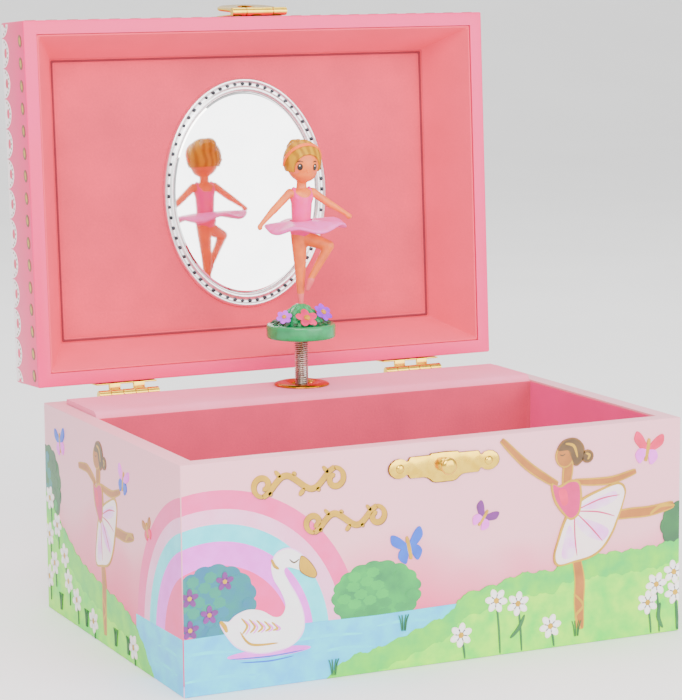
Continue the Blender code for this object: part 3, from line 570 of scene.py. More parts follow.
def daisy(sheet, x, y, size, petals=6, ink_name="white", turn=0.0):
    sheet.put("gauze" if ink_name == "white" else ink_name,
              *[oval(x + size * 0.62 * math.cos(a), y + size * 0.62 * math.sin(a), size * 0.52, size * 0.33,
                     math.degrees(a), 16)
                for a in [turn + math.tau * i / petals for i in range(petals)]])
    sheet.put(ink_name, *[oval(x + size * 0.6 * math.cos(a), y + size * 0.6 * math.sin(a), size * 0.38, size * 0.22,
                               math.degrees(a), 14)
                          for a in [turn + math.tau * i / petals for i in range(petals)]])
    sheet.put("gilt", oval(x, y, size * 0.27, n=14))


def grass(sheet, x, y, size):
    for lean in (-0.5, -0.15, 0.3, 0.6):
        sheet.put("deep", stroke([(x + lean, y), (x + lean * 1.6, y + size * 0.6), (x + lean * size * 0.6, y + size)], 0.28, 0.2))


def flourish(sheet, x, y, size):
    """Generic gilt scroll: a wave between two curled ends, with a leaf at each crest."""
    c, steps = size * 0.115, 14
    wave = [(x + c + (size - 2 * c) * k / 12, y - c * math.cos(math.pi * k / 4) * (0.5 + 0.5 * abs(k / 6 - 1))) for k in range(13)]
    curl = []
    for i in range(steps + 1):
        angle, reach = -math.pi / 2 - math.tau * (1 - i / steps), c * (0.3 + 0.7 * i / steps)
        curl.append((x + c + reach * math.cos(angle), y + reach * math.sin(angle)))
    parts = [stroke(wave, 1.7, 0.75, 4), stroke(curl, 1.6, 0.55, 3),
             stroke([(2 * x + size - u, 2 * y - v) for u, v in curl], 1.6, 0.55, 3)]
    for k in (2, 6, 10):
        u, v = wave[k]
        side = 1 if k == 6 else -1
        parts += [oval(u + size * 0.03, v - side * size * 0.10, size * 0.045, size * 0.022, side * 50, 16),
                  oval(u - size * 0.05, v + side * size * 0.09, size * 0.022, None, 0, 14)]
    sheet.put("bronze", *[[(u + 0.18, v - 0.18) for u, v in part] for part in parts])
    sheet.put("gilt", *parts)


def grow(points, by):
    """The same outline, pushed outwards."""
    cx = sum(p[0] for p in points) / len(points)
    cy = sum(p[1] for p in points) / len(points)
    out = []
    for x, y in points:
        length = math.hypot(x - cx, y - cy) or 1.0
        out.append((x + (x - cx) / length * by, y + (y - cy) / length * by))
    return out


def paint_dancer(sheet, x, y, size, across=1.0, lift=1.0):
    """A plain ballerina in arabesque, drawn in brush strokes from her waist; lift sets the raised arm."""
    def at(*pairs):
        return [(x + across * size * u, y + size * v) for u, v in pairs]

    limbs = [(at((-0.15, 0.26), (-0.24, 0.31), (-0.42, 0.36 + 0.07 * lift), (-0.57, 0.34 + 0.22 * lift),
                 (-0.74, 0.30 + 0.43 * lift)), 0.06),
             (at((0.03, 0.27), (0.22, 0.25), (0.45, 0.25), (0.70, 0.31)), 0.052),
             (at((0.38, -0.10), (0.62, -0.09), (0.86, -0.09), (1.12, -0.05)), 0.078),
             (at((0.04, -0.40), (0.09, -0.66), (0.085, -0.90), (0.10, -1.15)), 0.09),
             (at((-0.06, 0.24), (-0.04, 0.38), (-0.03, 0.48)), 0.085)]
    for line, width in limbs:
        sheet.put("gilt", stroke(line, size * width + 0.8, 0.55))
    for line, width in limbs:
        sheet.put("tan", stroke(line, size * width, 0.5))
    sheet.put("gilt", stroke(at((0.03, -0.80), (0.13, -0.92), (0.05, -1.02), (0.11, -1.15)), 0.8, 0.4),
              stroke(at((0.86, -0.12), (0.98, -0.05), (1.13, -0.06)), 1.0, 0.4))
    skirt = through(at((0.0, -0.02), (0.12, 0.08), (0.30, 0.15), (0.50, 0.20), (0.57, 0.13), (0.54, 0.0), (0.49, -0.12),
                       (0.43, -0.25), (0.33, -0.38), (0.21, -0.45), (0.04, -0.48), (-0.13, -0.50), (-0.17, -0.41),
                       (-0.12, -0.25), (-0.06, -0.10)))
    sheet.put("gilt", grow(skirt, 0.75))
    sheet.put("gauze", skirt)
    sheet.put("haze", through(at((0.08, 0.02), (0.26, 0.09), (0.46, 0.14), (0.48, 0.06), (0.28, -0.01))),
              through(at((0.04, -0.08), (0.22, -0.12), (0.40, -0.22), (0.33, -0.32), (0.14, -0.24))),
              through(at((-0.02, -0.14), (0.04, -0.30), (0.02, -0.44), (-0.10, -0.44), (-0.08, -0.28))))
    for u, v in ((0.52, 0.10), (0.47, -0.10), (0.34, -0.33), (0.06, -0.44)):
        sheet.put("candy", stroke(at((0.03, -0.01), (u * 0.6, v * 0.6 + 0.02), (u, v)), 0.45, 0.2))
    body = through(at((-0.20, 0.26), (-0.12, 0.23), (-0.02, 0.27), (0.07, 0.25), (0.09, 0.12), (0.07, -0.02), (-0.01, -0.07),
                      (-0.09, 0.0), (-0.17, 0.12)))
    sheet.put("gilt", grow(body, 0.65))
    sheet.put("candy", body)
    sheet.put("rosy", through(at((-0.14, 0.20), (-0.06, 0.20), (-0.04, 0.08), (-0.10, 0.06))))
    sheet.put("gilt", *[oval(*at((-0.075, 0.525))[0], size * 0.085 + 0.4, size * 0.10 + 0.4)])
    sheet.put("tan", *[oval(*at((-0.075, 0.525))[0], size * 0.085, size * 0.10)])
    hair = through(at((-0.14, 0.58), (-0.08, 0.66), (0.04, 0.67), (0.12, 0.59), (0.11, 0.48), (0.04, 0.43), (0.0, 0.50),
                      (-0.03, 0.57)))
    bun = oval(*at((0.17, 0.50))[0], size * 0.05)
    sheet.put("bronze", grow(hair, 0.4), grow(bun, 0.4))
    sheet.put("umber", hair, bun)
    sheet.put("gilt", stroke(at((-0.07, 0.64), (0.02, 0.61), (0.06, 0.50)), 0.8, 0.3),
              stroke(at((0.15, 0.53), (0.19, 0.51), (0.17, 0.47)), 0.7, 0.3))
    sheet.put("brown", stroke(at((-0.13, 0.54), (-0.10, 0.53), (-0.07, 0.545)), 0.35, 0.3))


def hill(sheet, tops, ink_name="hill"):
    """Ground with a bushy upper edge through the given points."""
    line = through(tops, False, 12)
    rough = [(u, v + 0.9 * abs(math.sin(0.55 * u)) + 0.35 * abs(math.sin(1.7 * u))) for u, v in line]
    sheet.put(ink_name, rough + [(tops[-1][0], 0.0), (tops[0][0], 0.0)])


def swan(sheet, x, y, s):
    """Swan floating to the right, its head bent back over its neck."""
    def at(*pairs):
        return [(x + s * u, y + s * v) for u, v in pairs]

    sheet.put("lilac", oval(x + s * 0.1, y - s * 0.46, s * 0.95, s * 0.10))
    for row, wide in ((-0.50, 0.80), (-0.60, 0.55)):
        sheet.put("sky", stroke(at((-wide, row), (0.1, row - 0.04), (wide + 0.1, row)), 0.4, 0.1))
    body = through(at((-0.97, 0.30), (-0.78, 0.30), (-0.62, 0.42), (-0.35, 0.50), (-0.05, 0.44), (0.22, 0.28), (0.40, 0.30),
                      (0.48, 0.50), (0.38, 0.80), (0.22, 1.08), (0.17, 1.38), (0.31, 1.62), (0.58, 1.68), (0.86, 1.52),
                      (0.98, 1.28), (0.92, 1.16), (0.72, 1.24), (0.52, 1.30), (0.45, 1.20), (0.54, 0.98), (0.74, 0.64),
                      (0.88, 0.26), (0.86, -0.10), (0.62, -0.34), (0.22, -0.44), (-0.22, -0.42), (-0.60, -0.26),
                      (-0.84, 0.02)))
    sheet.put("haze", grow(body, 0.35))
    sheet.put("pearl", body)
    sheet.put("white", through(at((-0.60, 0.24), (-0.30, 0.38), (0.06, 0.28), (0.34, 0.10), (0.30, -0.20), (0.0, -0.32),
                                  (-0.36, -0.22))), oval(x + s * 0.52, y + s * 1.44, s * 0.26, s * 0.14, -15))
    beak = through(at((0.84, 1.48), (0.98, 1.42), (1.18, 1.14), (1.14, 1.02), (0.97, 1.08), (0.82, 1.22)))
    sheet.put("bronze", grow(beak, 0.25))
    sheet.put("gilt", beak)
    sheet.put("brown", stroke(at((0.58, 1.46), (0.68, 1.38), (0.80, 1.44)), 0.45, 0.3))
    for k in range(5):
        u = -0.52 + 0.17 * k
        sheet.put("gilt", stroke(at((u, 0.34 - 0.04 * k), (u + 0.13, 0.16 - 0.03 * k), (u + 0.02, 0.0)), 0.7, 0.15))
        sheet.put("lilac", stroke(at((u + 0.07, 0.30 - 0.04 * k), (u + 0.19, 0.14 - 0.03 * k), (u + 0.09, -0.02)), 0.45, 0.15))
    sheet.put("gilt", stroke(at((-0.55, 0.05), (-0.30, -0.24), (0.30, -0.28)), 0.7, 0.2),
              stroke(at((-0.99, 0.32), (-0.90, 0.22), (-0.84, 0.08)), 1.2, 0.3),
              stroke(at((0.18, 1.50), (0.24, 1.36), (0.34, 1.28)), 0.9, 0.2))


def rainbow(sheet, cx, cy):
    for ink_name, outer, inner in (("rose", 42.0, 37.0), ("cream", 37.0, 33.0), ("aqua", 33.0, 28.4), ("lilac", 28.4, 22.0),
                                   ("blush", 22.0, 1.0)):
        sheet.put(ink_name, arch(cx, cy, outer, outer, inner / outer))


def bush(sheet, x, y, rx, ry, main, dark, light):
    """Scalloped mass of leaves, shaded at the foot and lit at the top."""
    sheet.put(main, lobes(x, y, rx, ry, int(rx * 1.3) | 1, 0.08))
    for k in range(22):
        angle = math.tau * k * 0.618
        reach = 0.8 * math.sqrt((k + 0.5) / 22)
        u, v = x + rx * reach * math.cos(angle), y + ry * reach * math.sin(angle)
        tone = dark if v < y - 0.2 * ry else light if u < x + 0.2 * rx else main
        sheet.put(tone, lobes(u, v, rx * 0.15, ry * 0.15, 7, 0.2))


FRONT_HILL = [(-36, -1), (-28, 4.3), (-19.5, 6), (-5, 10.5), (3, 13.5), (6, 17.3), (16, 19.3), (25, 21.5), (35, 21.5), (38, 23.8),
              (48, 24.5), (60, 24.5), (72, 25.5), (78, 27)]


def front_face():
    matrix = Matrix.Translation((0, FRONT, 0)) @ UPRIGHT
    sheet = Sheet("print_front", matrix, -75.75, 75.75, 0.15, BOX_H - 0.3, "case")
    rainbow(sheet, -67.0, 12.5)
    bush(sheet, -67.0, 24.5, 12.2, 10.5, "teal", "azure", "jade")
    bush(sheet, -19.8, 21.5, 13.6, 9.4, "leaf", "pine", "sage")
    sheet.put("lake", [(-76, 15.6), (-50, 16.2), (-20, 15.8), (7, 16.2), (7, 0), (-76, 0)])
    for u, v, w in ((-70, 11.0, 9), (-36, 11.5, 12), (-30, 7.5, 9), (-66, 4.0, 12), (-12, 12.8, 8)):
        sheet.put("mist", stroke([(u - w, v), (u, v + 0.5), (u + w, v - 0.2)], 0.9, 0.1))
    for u, v in ((-64.0, 30.0), (-74.0, 26.5), (-68.5, 21.5), (-74.0, 18.0)):
        daisy(sheet, u, v, 2.3, 5, "plum", 0.3)
    swan(sheet, -52.9, 15.3, 12.8)
    flourish(sheet, -56.0, 54.5, 27.0)
    flourish(sheet, -41.0, 43.2, 24.0)
    sheet.put("deep", lobes(76.5, 31.0, 7.0, 7.0, 9, 0.1))
    hill(sheet, FRONT_HILL)
    hill(sheet, [(u, v - 6.5) for u, v in FRONT_HILL[2:]], "meadow")
    butterfly(sheet, -10.1, 33.2, 5.2, 12, "sky", "sky")
    butterfly(sheet, 12.6, 39.2, 4.0, -35, "plum", "lilac")
    butterfly(sheet, 65.0, 53.4, 5.2, -10, "rosy", "lilac")
    paint_dancer(sheet, 40.4, 38.6, 29.8)
    for u, v in ((16.6, 15.6), (23.4, 14.0), (5.6, 7.2), (33.7, 6.4), (65.4, 9.5), (68.2, 14.5), (74.0, 17.5), (74.5, 11.5)):
        sheet.put("deep", stroke([(u + 1.2, 0.5), (u + 0.8, v * 0.5), (u, v)], 0.6, 0.5))
        daisy(sheet, u, v, 3.1, 6, "white", u)
    sheet.put("deep", stroke([(21.0, 4.5), (23.6, 7.0), (25.5, 10.6)], 1.1, 0.1), stroke([(70.5, 1.5), (69.0, 5), (69.6, 9)], 1.2, 0.1))
    for u, v in ((-33.0, 0.8), (-12.0, 10.5), (42.0, 2.5)):
        grass(sheet, u, v, 4.5)
    sheet.finish()


LEFT_HILL = [(-56, 36), (-47, 31), (-40, 27), (-25, 20), (-8, 16.5), (10, 14), (22, 9), (30, 2), (33, -1)]


def left_face():
    turn = Matrix.Rotation(math.radians(-90), 4, "Z")
    sheet = Sheet("print_left", Matrix.Translation((-BOX_W / 2, 0, 0)) @ turn @ UPRIGHT, -53.9, 53.9, 0.15, BOX_H - 0.3, "case")
    rainbow(sheet, 63.15, 12.5)
    sheet.put("lake", [(20, 15.0), (54.2, 15.6), (54.2, 0), (20, 0)])
    sheet.put("mist", stroke([(36, 10), (44, 10.6), (53, 10)], 0.9, 0.1), stroke([(33, 5), (42, 5.6), (50, 5)], 0.9, 0.1))
    bush(sheet, -51.0, 38.0, 11.0, 12.0, "deep", "leaf", "teal")
    hill(sheet, LEFT_HILL)
    hill(sheet, [(u, v - 8) for u, v in LEFT_HILL], "meadow")
    paint_dancer(sheet, -7.0, 37.5, 30.0, 0.78, 0.15)
    butterfly(sheet, -40.0, 52.0, 4.6, 10, "sky", "lilac")
    butterfly(sheet, 12.0, 50.0, 4.4, -12, "lilac", "sky")
    butterfly(sheet, 30.0, 40.0, 3.4, 20, "amber", "rosy")
    for k, (u, v) in enumerate(((-50, 34), (-44, 27), (-51, 23), (-38, 19), (-47, 15), (-35, 12), (-52, 10), (-28, 8),
                                (18, 5), (-14, 5))):
        sheet.put("deep", stroke([(u + 1, v - 7), (u + 0.8, v - 3), (u, v)], 0.6, 0.5))
        daisy(sheet, u, v, 3.2, 6, "white", u)
    for u in (-42, -20, 4, 14):
        grass(sheet, u, 2.0, 5.0)
    sheet.finish()


def far_faces():
    """Right and back boards: the same meadow, with no figures on the back."""
    turn = Matrix.Rotation(math.radians(90), 4, "Z")
    sheet = Sheet("print_right", Matrix.Translation((BOX_W / 2, 0, 0)) @ turn @ UPRIGHT, -53.9, 53.9, 0.15, BOX_H - 0.3, "case")
    hill(sheet, [(-56, 20), (-40, 21), (-20, 17), (0, 19), (20, 23), (40, 27), (56, 33)])
    hill(sheet, [(-56, 12), (-40, 13), (-20, 10), (0, 12), (20, 15), (40, 19), (56, 25)], "meadow")
    bush(sheet, 49.0, 38.0, 11.0, 12.0, "deep", "leaf", "teal")
    paint_dancer(sheet, -4.0, 37.0, 30.0, 0.85, 0.6)
    butterfly(sheet, -38, 46, 5.0, 12, "sky", "lilac")
    butterfly(sheet, 40, 54, 4.6, -14, "rosy", "lilac")
    for u, v in ((-47, 10), (-36, 14), (-26, 7), (16, 12), (28, 8), (38, 16), (48, 11), (44, 22)):
        sheet.put("deep", stroke([(u + 1, v - 7), (u + 0.8, v - 3), (u, v)], 0.6, 0.5))
        daisy(sheet, u, v, 3.4, 6, "white", u)
    sheet.finish()
    turn = Matrix.Rotation(math.pi, 4, "Z")
    sheet = Sheet("print_back", Matrix.Translation((0, BOX_D / 2, 0)) @ turn @ UPRIGHT, -75.75, 75.75, 0.15, BOX_H - 0.3, "case")
    hill(sheet, [(-78, 27), (-62, 25), (-48, 21), (-34, 17), (-20, 13), (-8, 10), (8, 10), (20, 13), (34, 17), (48, 21), (62, 25), (78, 27)])
    for side in (-1, 1):
        butterfly(sheet, side * 24, 44, 5.2, side * 12, "sky" if side < 0 else "rosy", "lilac")
        for u, v in ((66, 15), (54, 8), (42, 12), (28, 6), (18, 9)):
            daisy(sheet, side * u, v, 3.4, 6, "white", u)
    sheet.finish()


def lace_edge(sheet, left, right, at, out, ovals):
    """Lace scallops hanging from one edge, pierced with eyelets, over a row of gilt ovals."""
    step = 9.0
    count = int((right - left) / step) + 1
    start = (left + right - step * (count - 1)) / 2
    for i in range(count):
        x = start + step * i
        sheet.put("lace", oval(x, at, 4.4, 5.6, n=24))
        sheet.put("rosy", oval(x, at + out * 2.8, 1.5, 1.2, n=12))
        sheet.put("bronze", *[oval(x + 3.6 * math.cos(a), at + out * (0.2 + 4.4 * math.sin(a)), 0.4, n=8)
                              for a in [math.pi * k / 8 for k in range(1, 8)]])
    if ovals is not None:
        spots = [left + 3.4 + 6.6 * i for i in range(int((right - left) / 6.6))]
        sheet.put("bronze", *[oval(x, ovals, 1.9, 1.4, 20, 16) for x in spots])
        sheet.put("gilt", *[oval(x, ovals, 1.2, 0.75, 20, 12) for x in spots])


def lid_print():
    top = LID_TOP
    for name, spot, turn, half in (("print_lid_front", (0, FRONT, 0), 0, BOX_W / 2), ("print_lid_left", (-BOX_W / 2, 0, 0), -90, BOX_D / 2),
                                   ("print_lid_right", (BOX_W / 2, 0, 0), 90, BOX_D / 2), ("print_lid_back", (0, -FRONT, 0), 180, BOX_W / 2)):
        matrix = OPEN @ Matrix.Translation(spot) @ Matrix.Rotation(math.radians(turn), 4, "Z") @ UPRIGHT
        sheet = Sheet(name, matrix, 0.6 - half, half - 0.6, LID_RIM + 0.4, top - 0.6, "lid")
        lace_edge(sheet, -half, half, top - 0.8, -1, LID_RIM + 3.4)
        sheet.finish()
    matrix = OPEN @ Matrix.Translation((0, 0, top))
    sheet = Sheet("print_lid_top", matrix, -75.4, 75.4, FRONT + 0.6, -FRONT - 0.6, "lid")
    sheet.put("lace", *[oval(60 * math.cos(a), 42 * math.sin(a), 4.6, 4.6, n=16) for a in [math.tau * k / 40 for k in range(40)]])
    sheet.put("rose", oval(0, 0, 59, 41, n=80))
    sheet.put("haze", oval(0, 0, 54, 36.5, n=80))
    hill(sheet, [(-52, -8), (-36, -10), (-18, -13), (0, -14), (20, -13), (38, -10), (52, -7)])
    paint_dancer(sheet, -6, 3, 26.0)
    for k in range(14):
        angle = math.tau * (k + 0.5) / 14
        daisy(sheet, 52 * math.cos(angle), 34 * math.sin(angle), 3.8, 6, "white" if k % 2 else "plum", angle)
    butterfly(sheet, 26, 16, 6, -15, "sky", "lilac")
    butterfly(sheet, -32, 12, 5.4, 20, "rosy", "lilac")
    sheet.finish()


# ------------------------------------------------------------------ casing and lid
def build_casing():
    """Hollow wrapped casing with softly rounded edges, and its print."""
    x, y = BOX_W / 2, BOX_D / 2
    outer = cube_bm(-x, x, -y, y, 3.03, BOX_H, 0.3, 3)
    room = cube_bm(-x + 5.0, x - 5.0, -y + 5.0, y - 5.0, -5, BOX_H + 9)
    bore = bmesh.new()
    bmesh.ops.create_cone(bore, cap_ends=True, segments=32, radius1=2.4, radius2=2.4, depth=20)
    bmesh.ops.rotate(bore, cent=(0, 0, 0), matrix=Matrix.Rotation(math.radians(90), 3, "X"), verts=bore.verts)
    bmesh.ops.translate(bore, vec=(SPINDLE_X, y, 30.0), verts=bore.verts)
    shell = carve(outer, room, bore)
    keep("casing_wrap", shell, "case", once("printed_paper", sky_paper), None, True,
         ("box_front", "box_back", "box_left", "box_right"))
    foot = cube_bm(-x, x, -y, y, 0, 2.98, 0.2, 2)
    keep("base_board", foot, "case", once("base_card", smooth_paper, "#F7CDF7", "#F7ADDA", 0.7), None, True, ("box_bottom",))
    front_face()
    left_face()
    far_faces()


def build_compartment():
    """Flocked tray of the jewel compartment."""
    x = BOX_W / 2 - 5.1
    y0, y1 = -49.1, 22.9
    tray = cube_bm(-x, x, y0, y1, 3.1, BOX_H - 0.4)
    room = cube_bm(-x + 0.7, x - 0.7, y0 + 0.7, y1 - 0.7, 4.65, BOX_H + 20, 1.2, 4)
    lining = carve(tray, room)
    bmesh.ops.bevel(lining, geom=[e for e in lining.edges if min(v.co.z for v in e.verts) > BOX_H - 0.5], offset=0.2,
                    segments=2, affect="EDGES")
    for face in lining.faces:
        face.material_index = 1 if face.calc_center_median().x > x - 0.75 and face.normal.x < -0.5 else 0
    bright = once("bright_lining_paper", smooth_paper, "#F73E94", "#E93D85", 0.35)
    keep("tray_lining", lining, "case", [once("rose_flocked_cloth", flock, "#E04268", "#BA435C"), bright], None, True,
         ("compartment_lining",), 40)


def rect_loops(bm, profile, corner=2.0, steps=5):
    """Skin through rounded rectangles given as (half width, half depth, height)."""
    loops = []
    for hx, hy, z in profile:
        loop = []
        for q, (sx, sy) in enumerate(((1, 1), (-1, 1), (-1, -1), (1, -1))):
            for k in range(steps + 1):
                angle = math.radians(90 * q + 90 * k / steps)
                loop.append(bm.verts.new((sx * (hx - corner) + corner * math.cos(angle),
                                          sy * (hy - corner) + corner * math.sin(angle), z)))
        loops.append(loop)
    for first, second in zip(loops, loops[1:]):
        for i in range(len(first)):
            j = (i + 1) % len(first)
            bm.faces.new((first[i], first[j], second[j], second[i]))
    return loops


def build_lid():
    """Lid shell, its print, and the padded lining round the mirror."""
    x, y = BOX_W / 2, BOX_D / 2
    outer = cube_bm(-x, x, -y, y, LID_RIM, LID_TOP, 0.5, 3)
    room = cube_bm(-x + 4.05, x - 4.05, -y + 4.05, y - 4.05, LID_RIM - 9, LID_TOP - 2.6)
    shell = carve(outer, room)
    keep("lid_wrap", shell, "lid", once("lid_paper", smooth_paper, "#F71277", "#F61B6B", 0.4), OPEN, True,
         ("lid_top", "lid_front", "lid_back", "lid_left", "lid_right"))
    lid_print()
    bm = bmesh.new()
    ox, oy = x - 4.1, y - 4.1
    face = LINING_FACE
    px, py = 61.6, 41.8
    profile = [(ox, oy, face + 0.5), (ox, oy, 63.0), (ox - 0.2, oy - 0.2, 62.7), (ox - 0.6, oy - 0.6, 62.75)]
    for k in range(1, 15):
        t = k / 15
        swell = 0.5 * math.sin(math.pi * t)
        profile.append((ox - 0.7 + (px + 2.3 - ox) * t - swell * 0.3, oy - 0.7 + (py + 2.3 - oy) * t - swell * 0.3,
                        62.9 + (face - 1.4 - 62.9) * t))
    profile += [(px + 1.3, py + 1.3, face - 0.95), (px + 1.05, py + 1.05, face - 0.5), (px + 0.8, py + 0.8, face - 0.75),
                (px + 0.4, py + 0.4, face - 0.9), (px + 0.1, py + 0.1, face - 0.6), (px - 0.25, py - 0.25, face - 0.15),
                (px - 0.6, py - 0.6, face - 0.3), (px - 1.4, py - 1.4, face - 0.42), (px - 4.0, py - 4.0, face - 0.35),
                (px - 7.0, py - 7.0, face - 0.1), (px - 7.6, py - 7.6, face)]
    loops = rect_loops(bm, profile, 0.5)
    bm.faces.new(loops[-1])
    bm.faces.new(loops[0][::-1])
    # Panel faces take the lining cloth. The sloped sides take a lighter copy of it, as painted light, and the seam
    # between them takes a dark copy, as painted shade.
    for f in bm.faces:
        drop = f.calc_center_median().z - face
        f.material_index = 0 if drop > -0.73 else 2 if drop > -0.9 else 1
    painted_light_slopes = once("lid_slope_cloth", flock, "#F74C6E", "#E74A61")
    seam = once("lid_seam_shade", flock, "#8A3442", "#79313C")
    keep("lid_lining_cloth", bm, "lid", [once("lid_flocked_cloth", flock, "#EC4662", "#C74457"), painted_light_slopes, seam], OPEN, True, ("lid_lining",), 50)


def build_platform():
    """Cloth-covered shelf with a rolled front edge, and its riser."""
    half = BOX_W / 2 - 5.25
    y0, y1, z1, z0 = 23.0, 48.85, PLATFORM_TOP, PLATFORM_TOP - 5.4
    outline = [(y1, z0), (y1, z1 - 0.6), (y1 - 0.6, z1)]
    outline += [(y0 + 2.6 + 2.6 * math.cos(math.radians(90 + 6 * i)), z1 - 2.6 + 2.6 * math.sin(math.radians(90 + 6 * i)))
                for i in range(16)]
    outline.append((y0, z0))
    board = plate_bm(outline, -half, half, 0.0)
    board.transform(Matrix(((0, 0, 1, 0), (1, 0, 0, 0), (0, 1, 0, 0), (0, 0, 0, 1))))
    hole = bmesh.new()
    bmesh.ops.create_cone(hole, cap_ends=True, segments=48, radius1=4.3, radius2=4.3, depth=30)
    bmesh.ops.translate(hole, vec=(SPINDLE_X, SPINDLE_Y, z1), verts=hole.verts)
    slot = cube_bm(SPINDLE_X + 3.3, SPINDLE_X + 5.1, y1 - 0.9, y1 + 2, z0 - 2, z1 + 2)
    keep("platform_cloth", carve(board, hole, slot), "case", suede(), None, True, ("platform_top",), 25)
    riser = cube_bm(-half, half, y0 + 0.1, y0 + 2.4, 3.1, z0 - 0.05, 0.15, 2)
    # The riser's cloth is a darker copy of the shelf's cloth, as painted shade on the upright front under the shelf.
    keep("platform_riser", riser, "case", once("riser_flocked_cloth", flock, "#E53F67", "#C3415D"), None, True,
         ("platform_front",))
    at = Matrix.Translation((SPINDLE_X, SPINDLE_Y, 0))
    ring = [(3.3, z0 + 0.4), (4.1, z0 + 0.4), (4.1, z1 + 0.03), (8.1, z1 + 0.03), (8.42, z1 + 0.14), (8.45, z1 + 0.3),
            (8.3, z1 + 0.52), (7.9, z1 + 0.72), (7.3, z1 + 0.88), (6.6, z1 + 0.99), (5.9, z1 + 1.0), (5.2, z1 + 0.95),
            (4.6, z1 + 0.8), (4.1, z1 + 0.58), (3.7, z1 + 0.35), (3.42, z1 + 0.12), (3.3, z1 - 0.2)]
    keep("eyelet", spun(ring, 72, at), "case", brass(), None, True, ("grommet",), 60)


# ------------------------------------------------------------------ repeated details
def ring_nodes(name, count, across, deep, item, mat, size, lean, seed):
    """Node group that sets copies of one item round an oval, each turned outwards."""
    tree = bpy.data.node_groups.new(name, "GeometryNodeTree")
    face = tree.interface
    ports = {}
    for label, kind, value in (("Count", "NodeSocketInt", count), ("Half width", "NodeSocketFloat", across),
                               ("Half depth", "NodeSocketFloat", deep), ("Size", "NodeSocketFloat", size),
                               ("Lean", "NodeSocketFloat", lean), ("Seed", "NodeSocketInt", seed)):
        port = face.new_socket(label, in_out="INPUT", socket_type=kind)
        port.default_value = value
        ports[label] = port.identifier
    face.new_socket("Geometry", in_out="OUTPUT", socket_type="NodeSocketGeometry")
    source = add(tree, "NodeGroupInput")
    circle = add(tree, "GeometryNodeMeshCircle", [("Vertices", source, "Count")])
    circle.inputs["Radius"].default_value = 1.0
    stretch = add(tree, "ShaderNodeCombineXYZ", [("X", source, "Half width"), ("Y", source, "Half depth")])
    where = add(tree, "GeometryNodeInputPosition")
    scaled = add(tree, "ShaderNodeVectorMath", [(0, where, "Position"), (1, stretch, "Vector")], operation="MULTIPLY")
    placed = add(tree, "GeometryNodeSetPosition", [("Geometry", circle, "Mesh"), ("Position", scaled, "Vector")])
    parts = add(tree, "ShaderNodeSeparateXYZ", [("Vector", where, "Position")])
    heading = add(tree, "ShaderNodeMath", [(0, parts, "Y"), (1, parts, "X")], operation="ARCTAN2")
    jitter = add(tree, "FunctionNodeRandomValue", [("Seed", source, "Seed")], data_type="FLOAT")
    jitter.inputs[2].default_value = 0.88
    jitter.inputs[3].default_value = 1.1
    tilt = add(tree, "ShaderNodeCombineXYZ", [("Y", source, "Lean"), ("Z", heading, "Value")])
    grown = add(tree, "ShaderNodeMath", [(0, source, "Size"), (1, jitter, "Value")], operation="MULTIPLY")
    thing = add(tree, "GeometryNodeObjectInfo")
    thing.inputs["Object"].default_value = item
    copies = add(tree, "GeometryNodeInstanceOnPoints",
                 [("Points", placed, "Geometry"), ("Instance", thing, "Geometry"), ("Rotation", tilt, "Vector"),
                  ("Scale", grown, "Value")])
    solid = add(tree, "GeometryNodeRealizeInstances", [("Geometry", copies, "Instances")])
    coloured = add(tree, "GeometryNodeSetMaterial", [("Geometry", solid, "Geometry")])
    coloured.inputs["Material"].default_value = mat
    result = add(tree, "NodeGroupOutput")
    tree.links.new(coloured.outputs["Geometry"], result.inputs["Geometry"])
    return tree, ports


def ring_of(name, item_bm, mat, count, across, deep, size=1.0, lean=0.0):
    """Runs the ring nodes in millimetres and hands back one plain mesh."""
    item = temp(item_bm, name + "_item")
    item.data.shade_smooth()
    tree, ports = ring_nodes(name + "_nodes", count, across, deep, item, mat, size, lean, settings().seed)
    holder = bpy.data.objects.new(name, bpy.data.meshes.new(name))
    bpy.context.scene.collection.objects.link(holder)
    mod = holder.modifiers.new("ring", "NODES")
    mod.node_group = tree
    mod[ports["Count"]] = count
    mod[ports["Size"]] = size
    bm = evaluated_bmesh(holder)
    bpy.data.objects.remove(item, do_unlink=True)
    bpy.data.node_groups.remove(tree)
    return bm


def build_mirror():
    """Oval looking glass with a beaded silvered frame, on the lid's panel."""
    place = OPEN @ Matrix.Translation((0, 0, LINING_FACE - 0.05)) @ Matrix.Diagonal((1.0, 71.6 / 55.0, -1.0, 1.0))
    ring = [(24.2, 0.0), (24.1, 0.35), (24.25, 0.8), (24.5, 1.2), (24.9, 1.42), (25.25, 1.3), (25.5, 1.05), (26.0, 0.95),
            (26.4, 1.05), (26.65, 1.35), (26.95, 1.45), (27.25, 1.25), (27.45, 0.85), (27.5, 0.4), (27.5, 0.0)]
    silver = once("silvered_frame", metal, "#F8F8F9", "#ECEEF0", 0.3, 0.000002)
    keep("mirror_surround", spun(ring, 128), "lid", silver, place, True, ("mirror_frame",), 50)
    pane = spun([(0.0, 0.0), (24.05, 0.0), (24.05, 0.55), (23.6, 0.8), (0.0, 0.8)], 96)
    keep("mirror_pane", pane, "lid", once("looking_glass", looking_glass), place, True, ("mirror_glass",), 20)
    bead = ball_bm((0, 0, 0), 0.46, (1.0, 1.3, 0.8), 12)
    beads = ring_of("frame_beads", bead, once("dark_silver_bead", metal, "#4A4E54", "#34373C", 0.35), settings().bead_count,
                    26.0, 26.0 * 71.6 / 55.0)
    keep("mirror_beads", beads, "lid", once("dark_silver_bead", metal, "#4A4E54", "#34373C", 0.35),
         OPEN @ Matrix.Translation((0, 0, LINING_FACE - 1.2)))


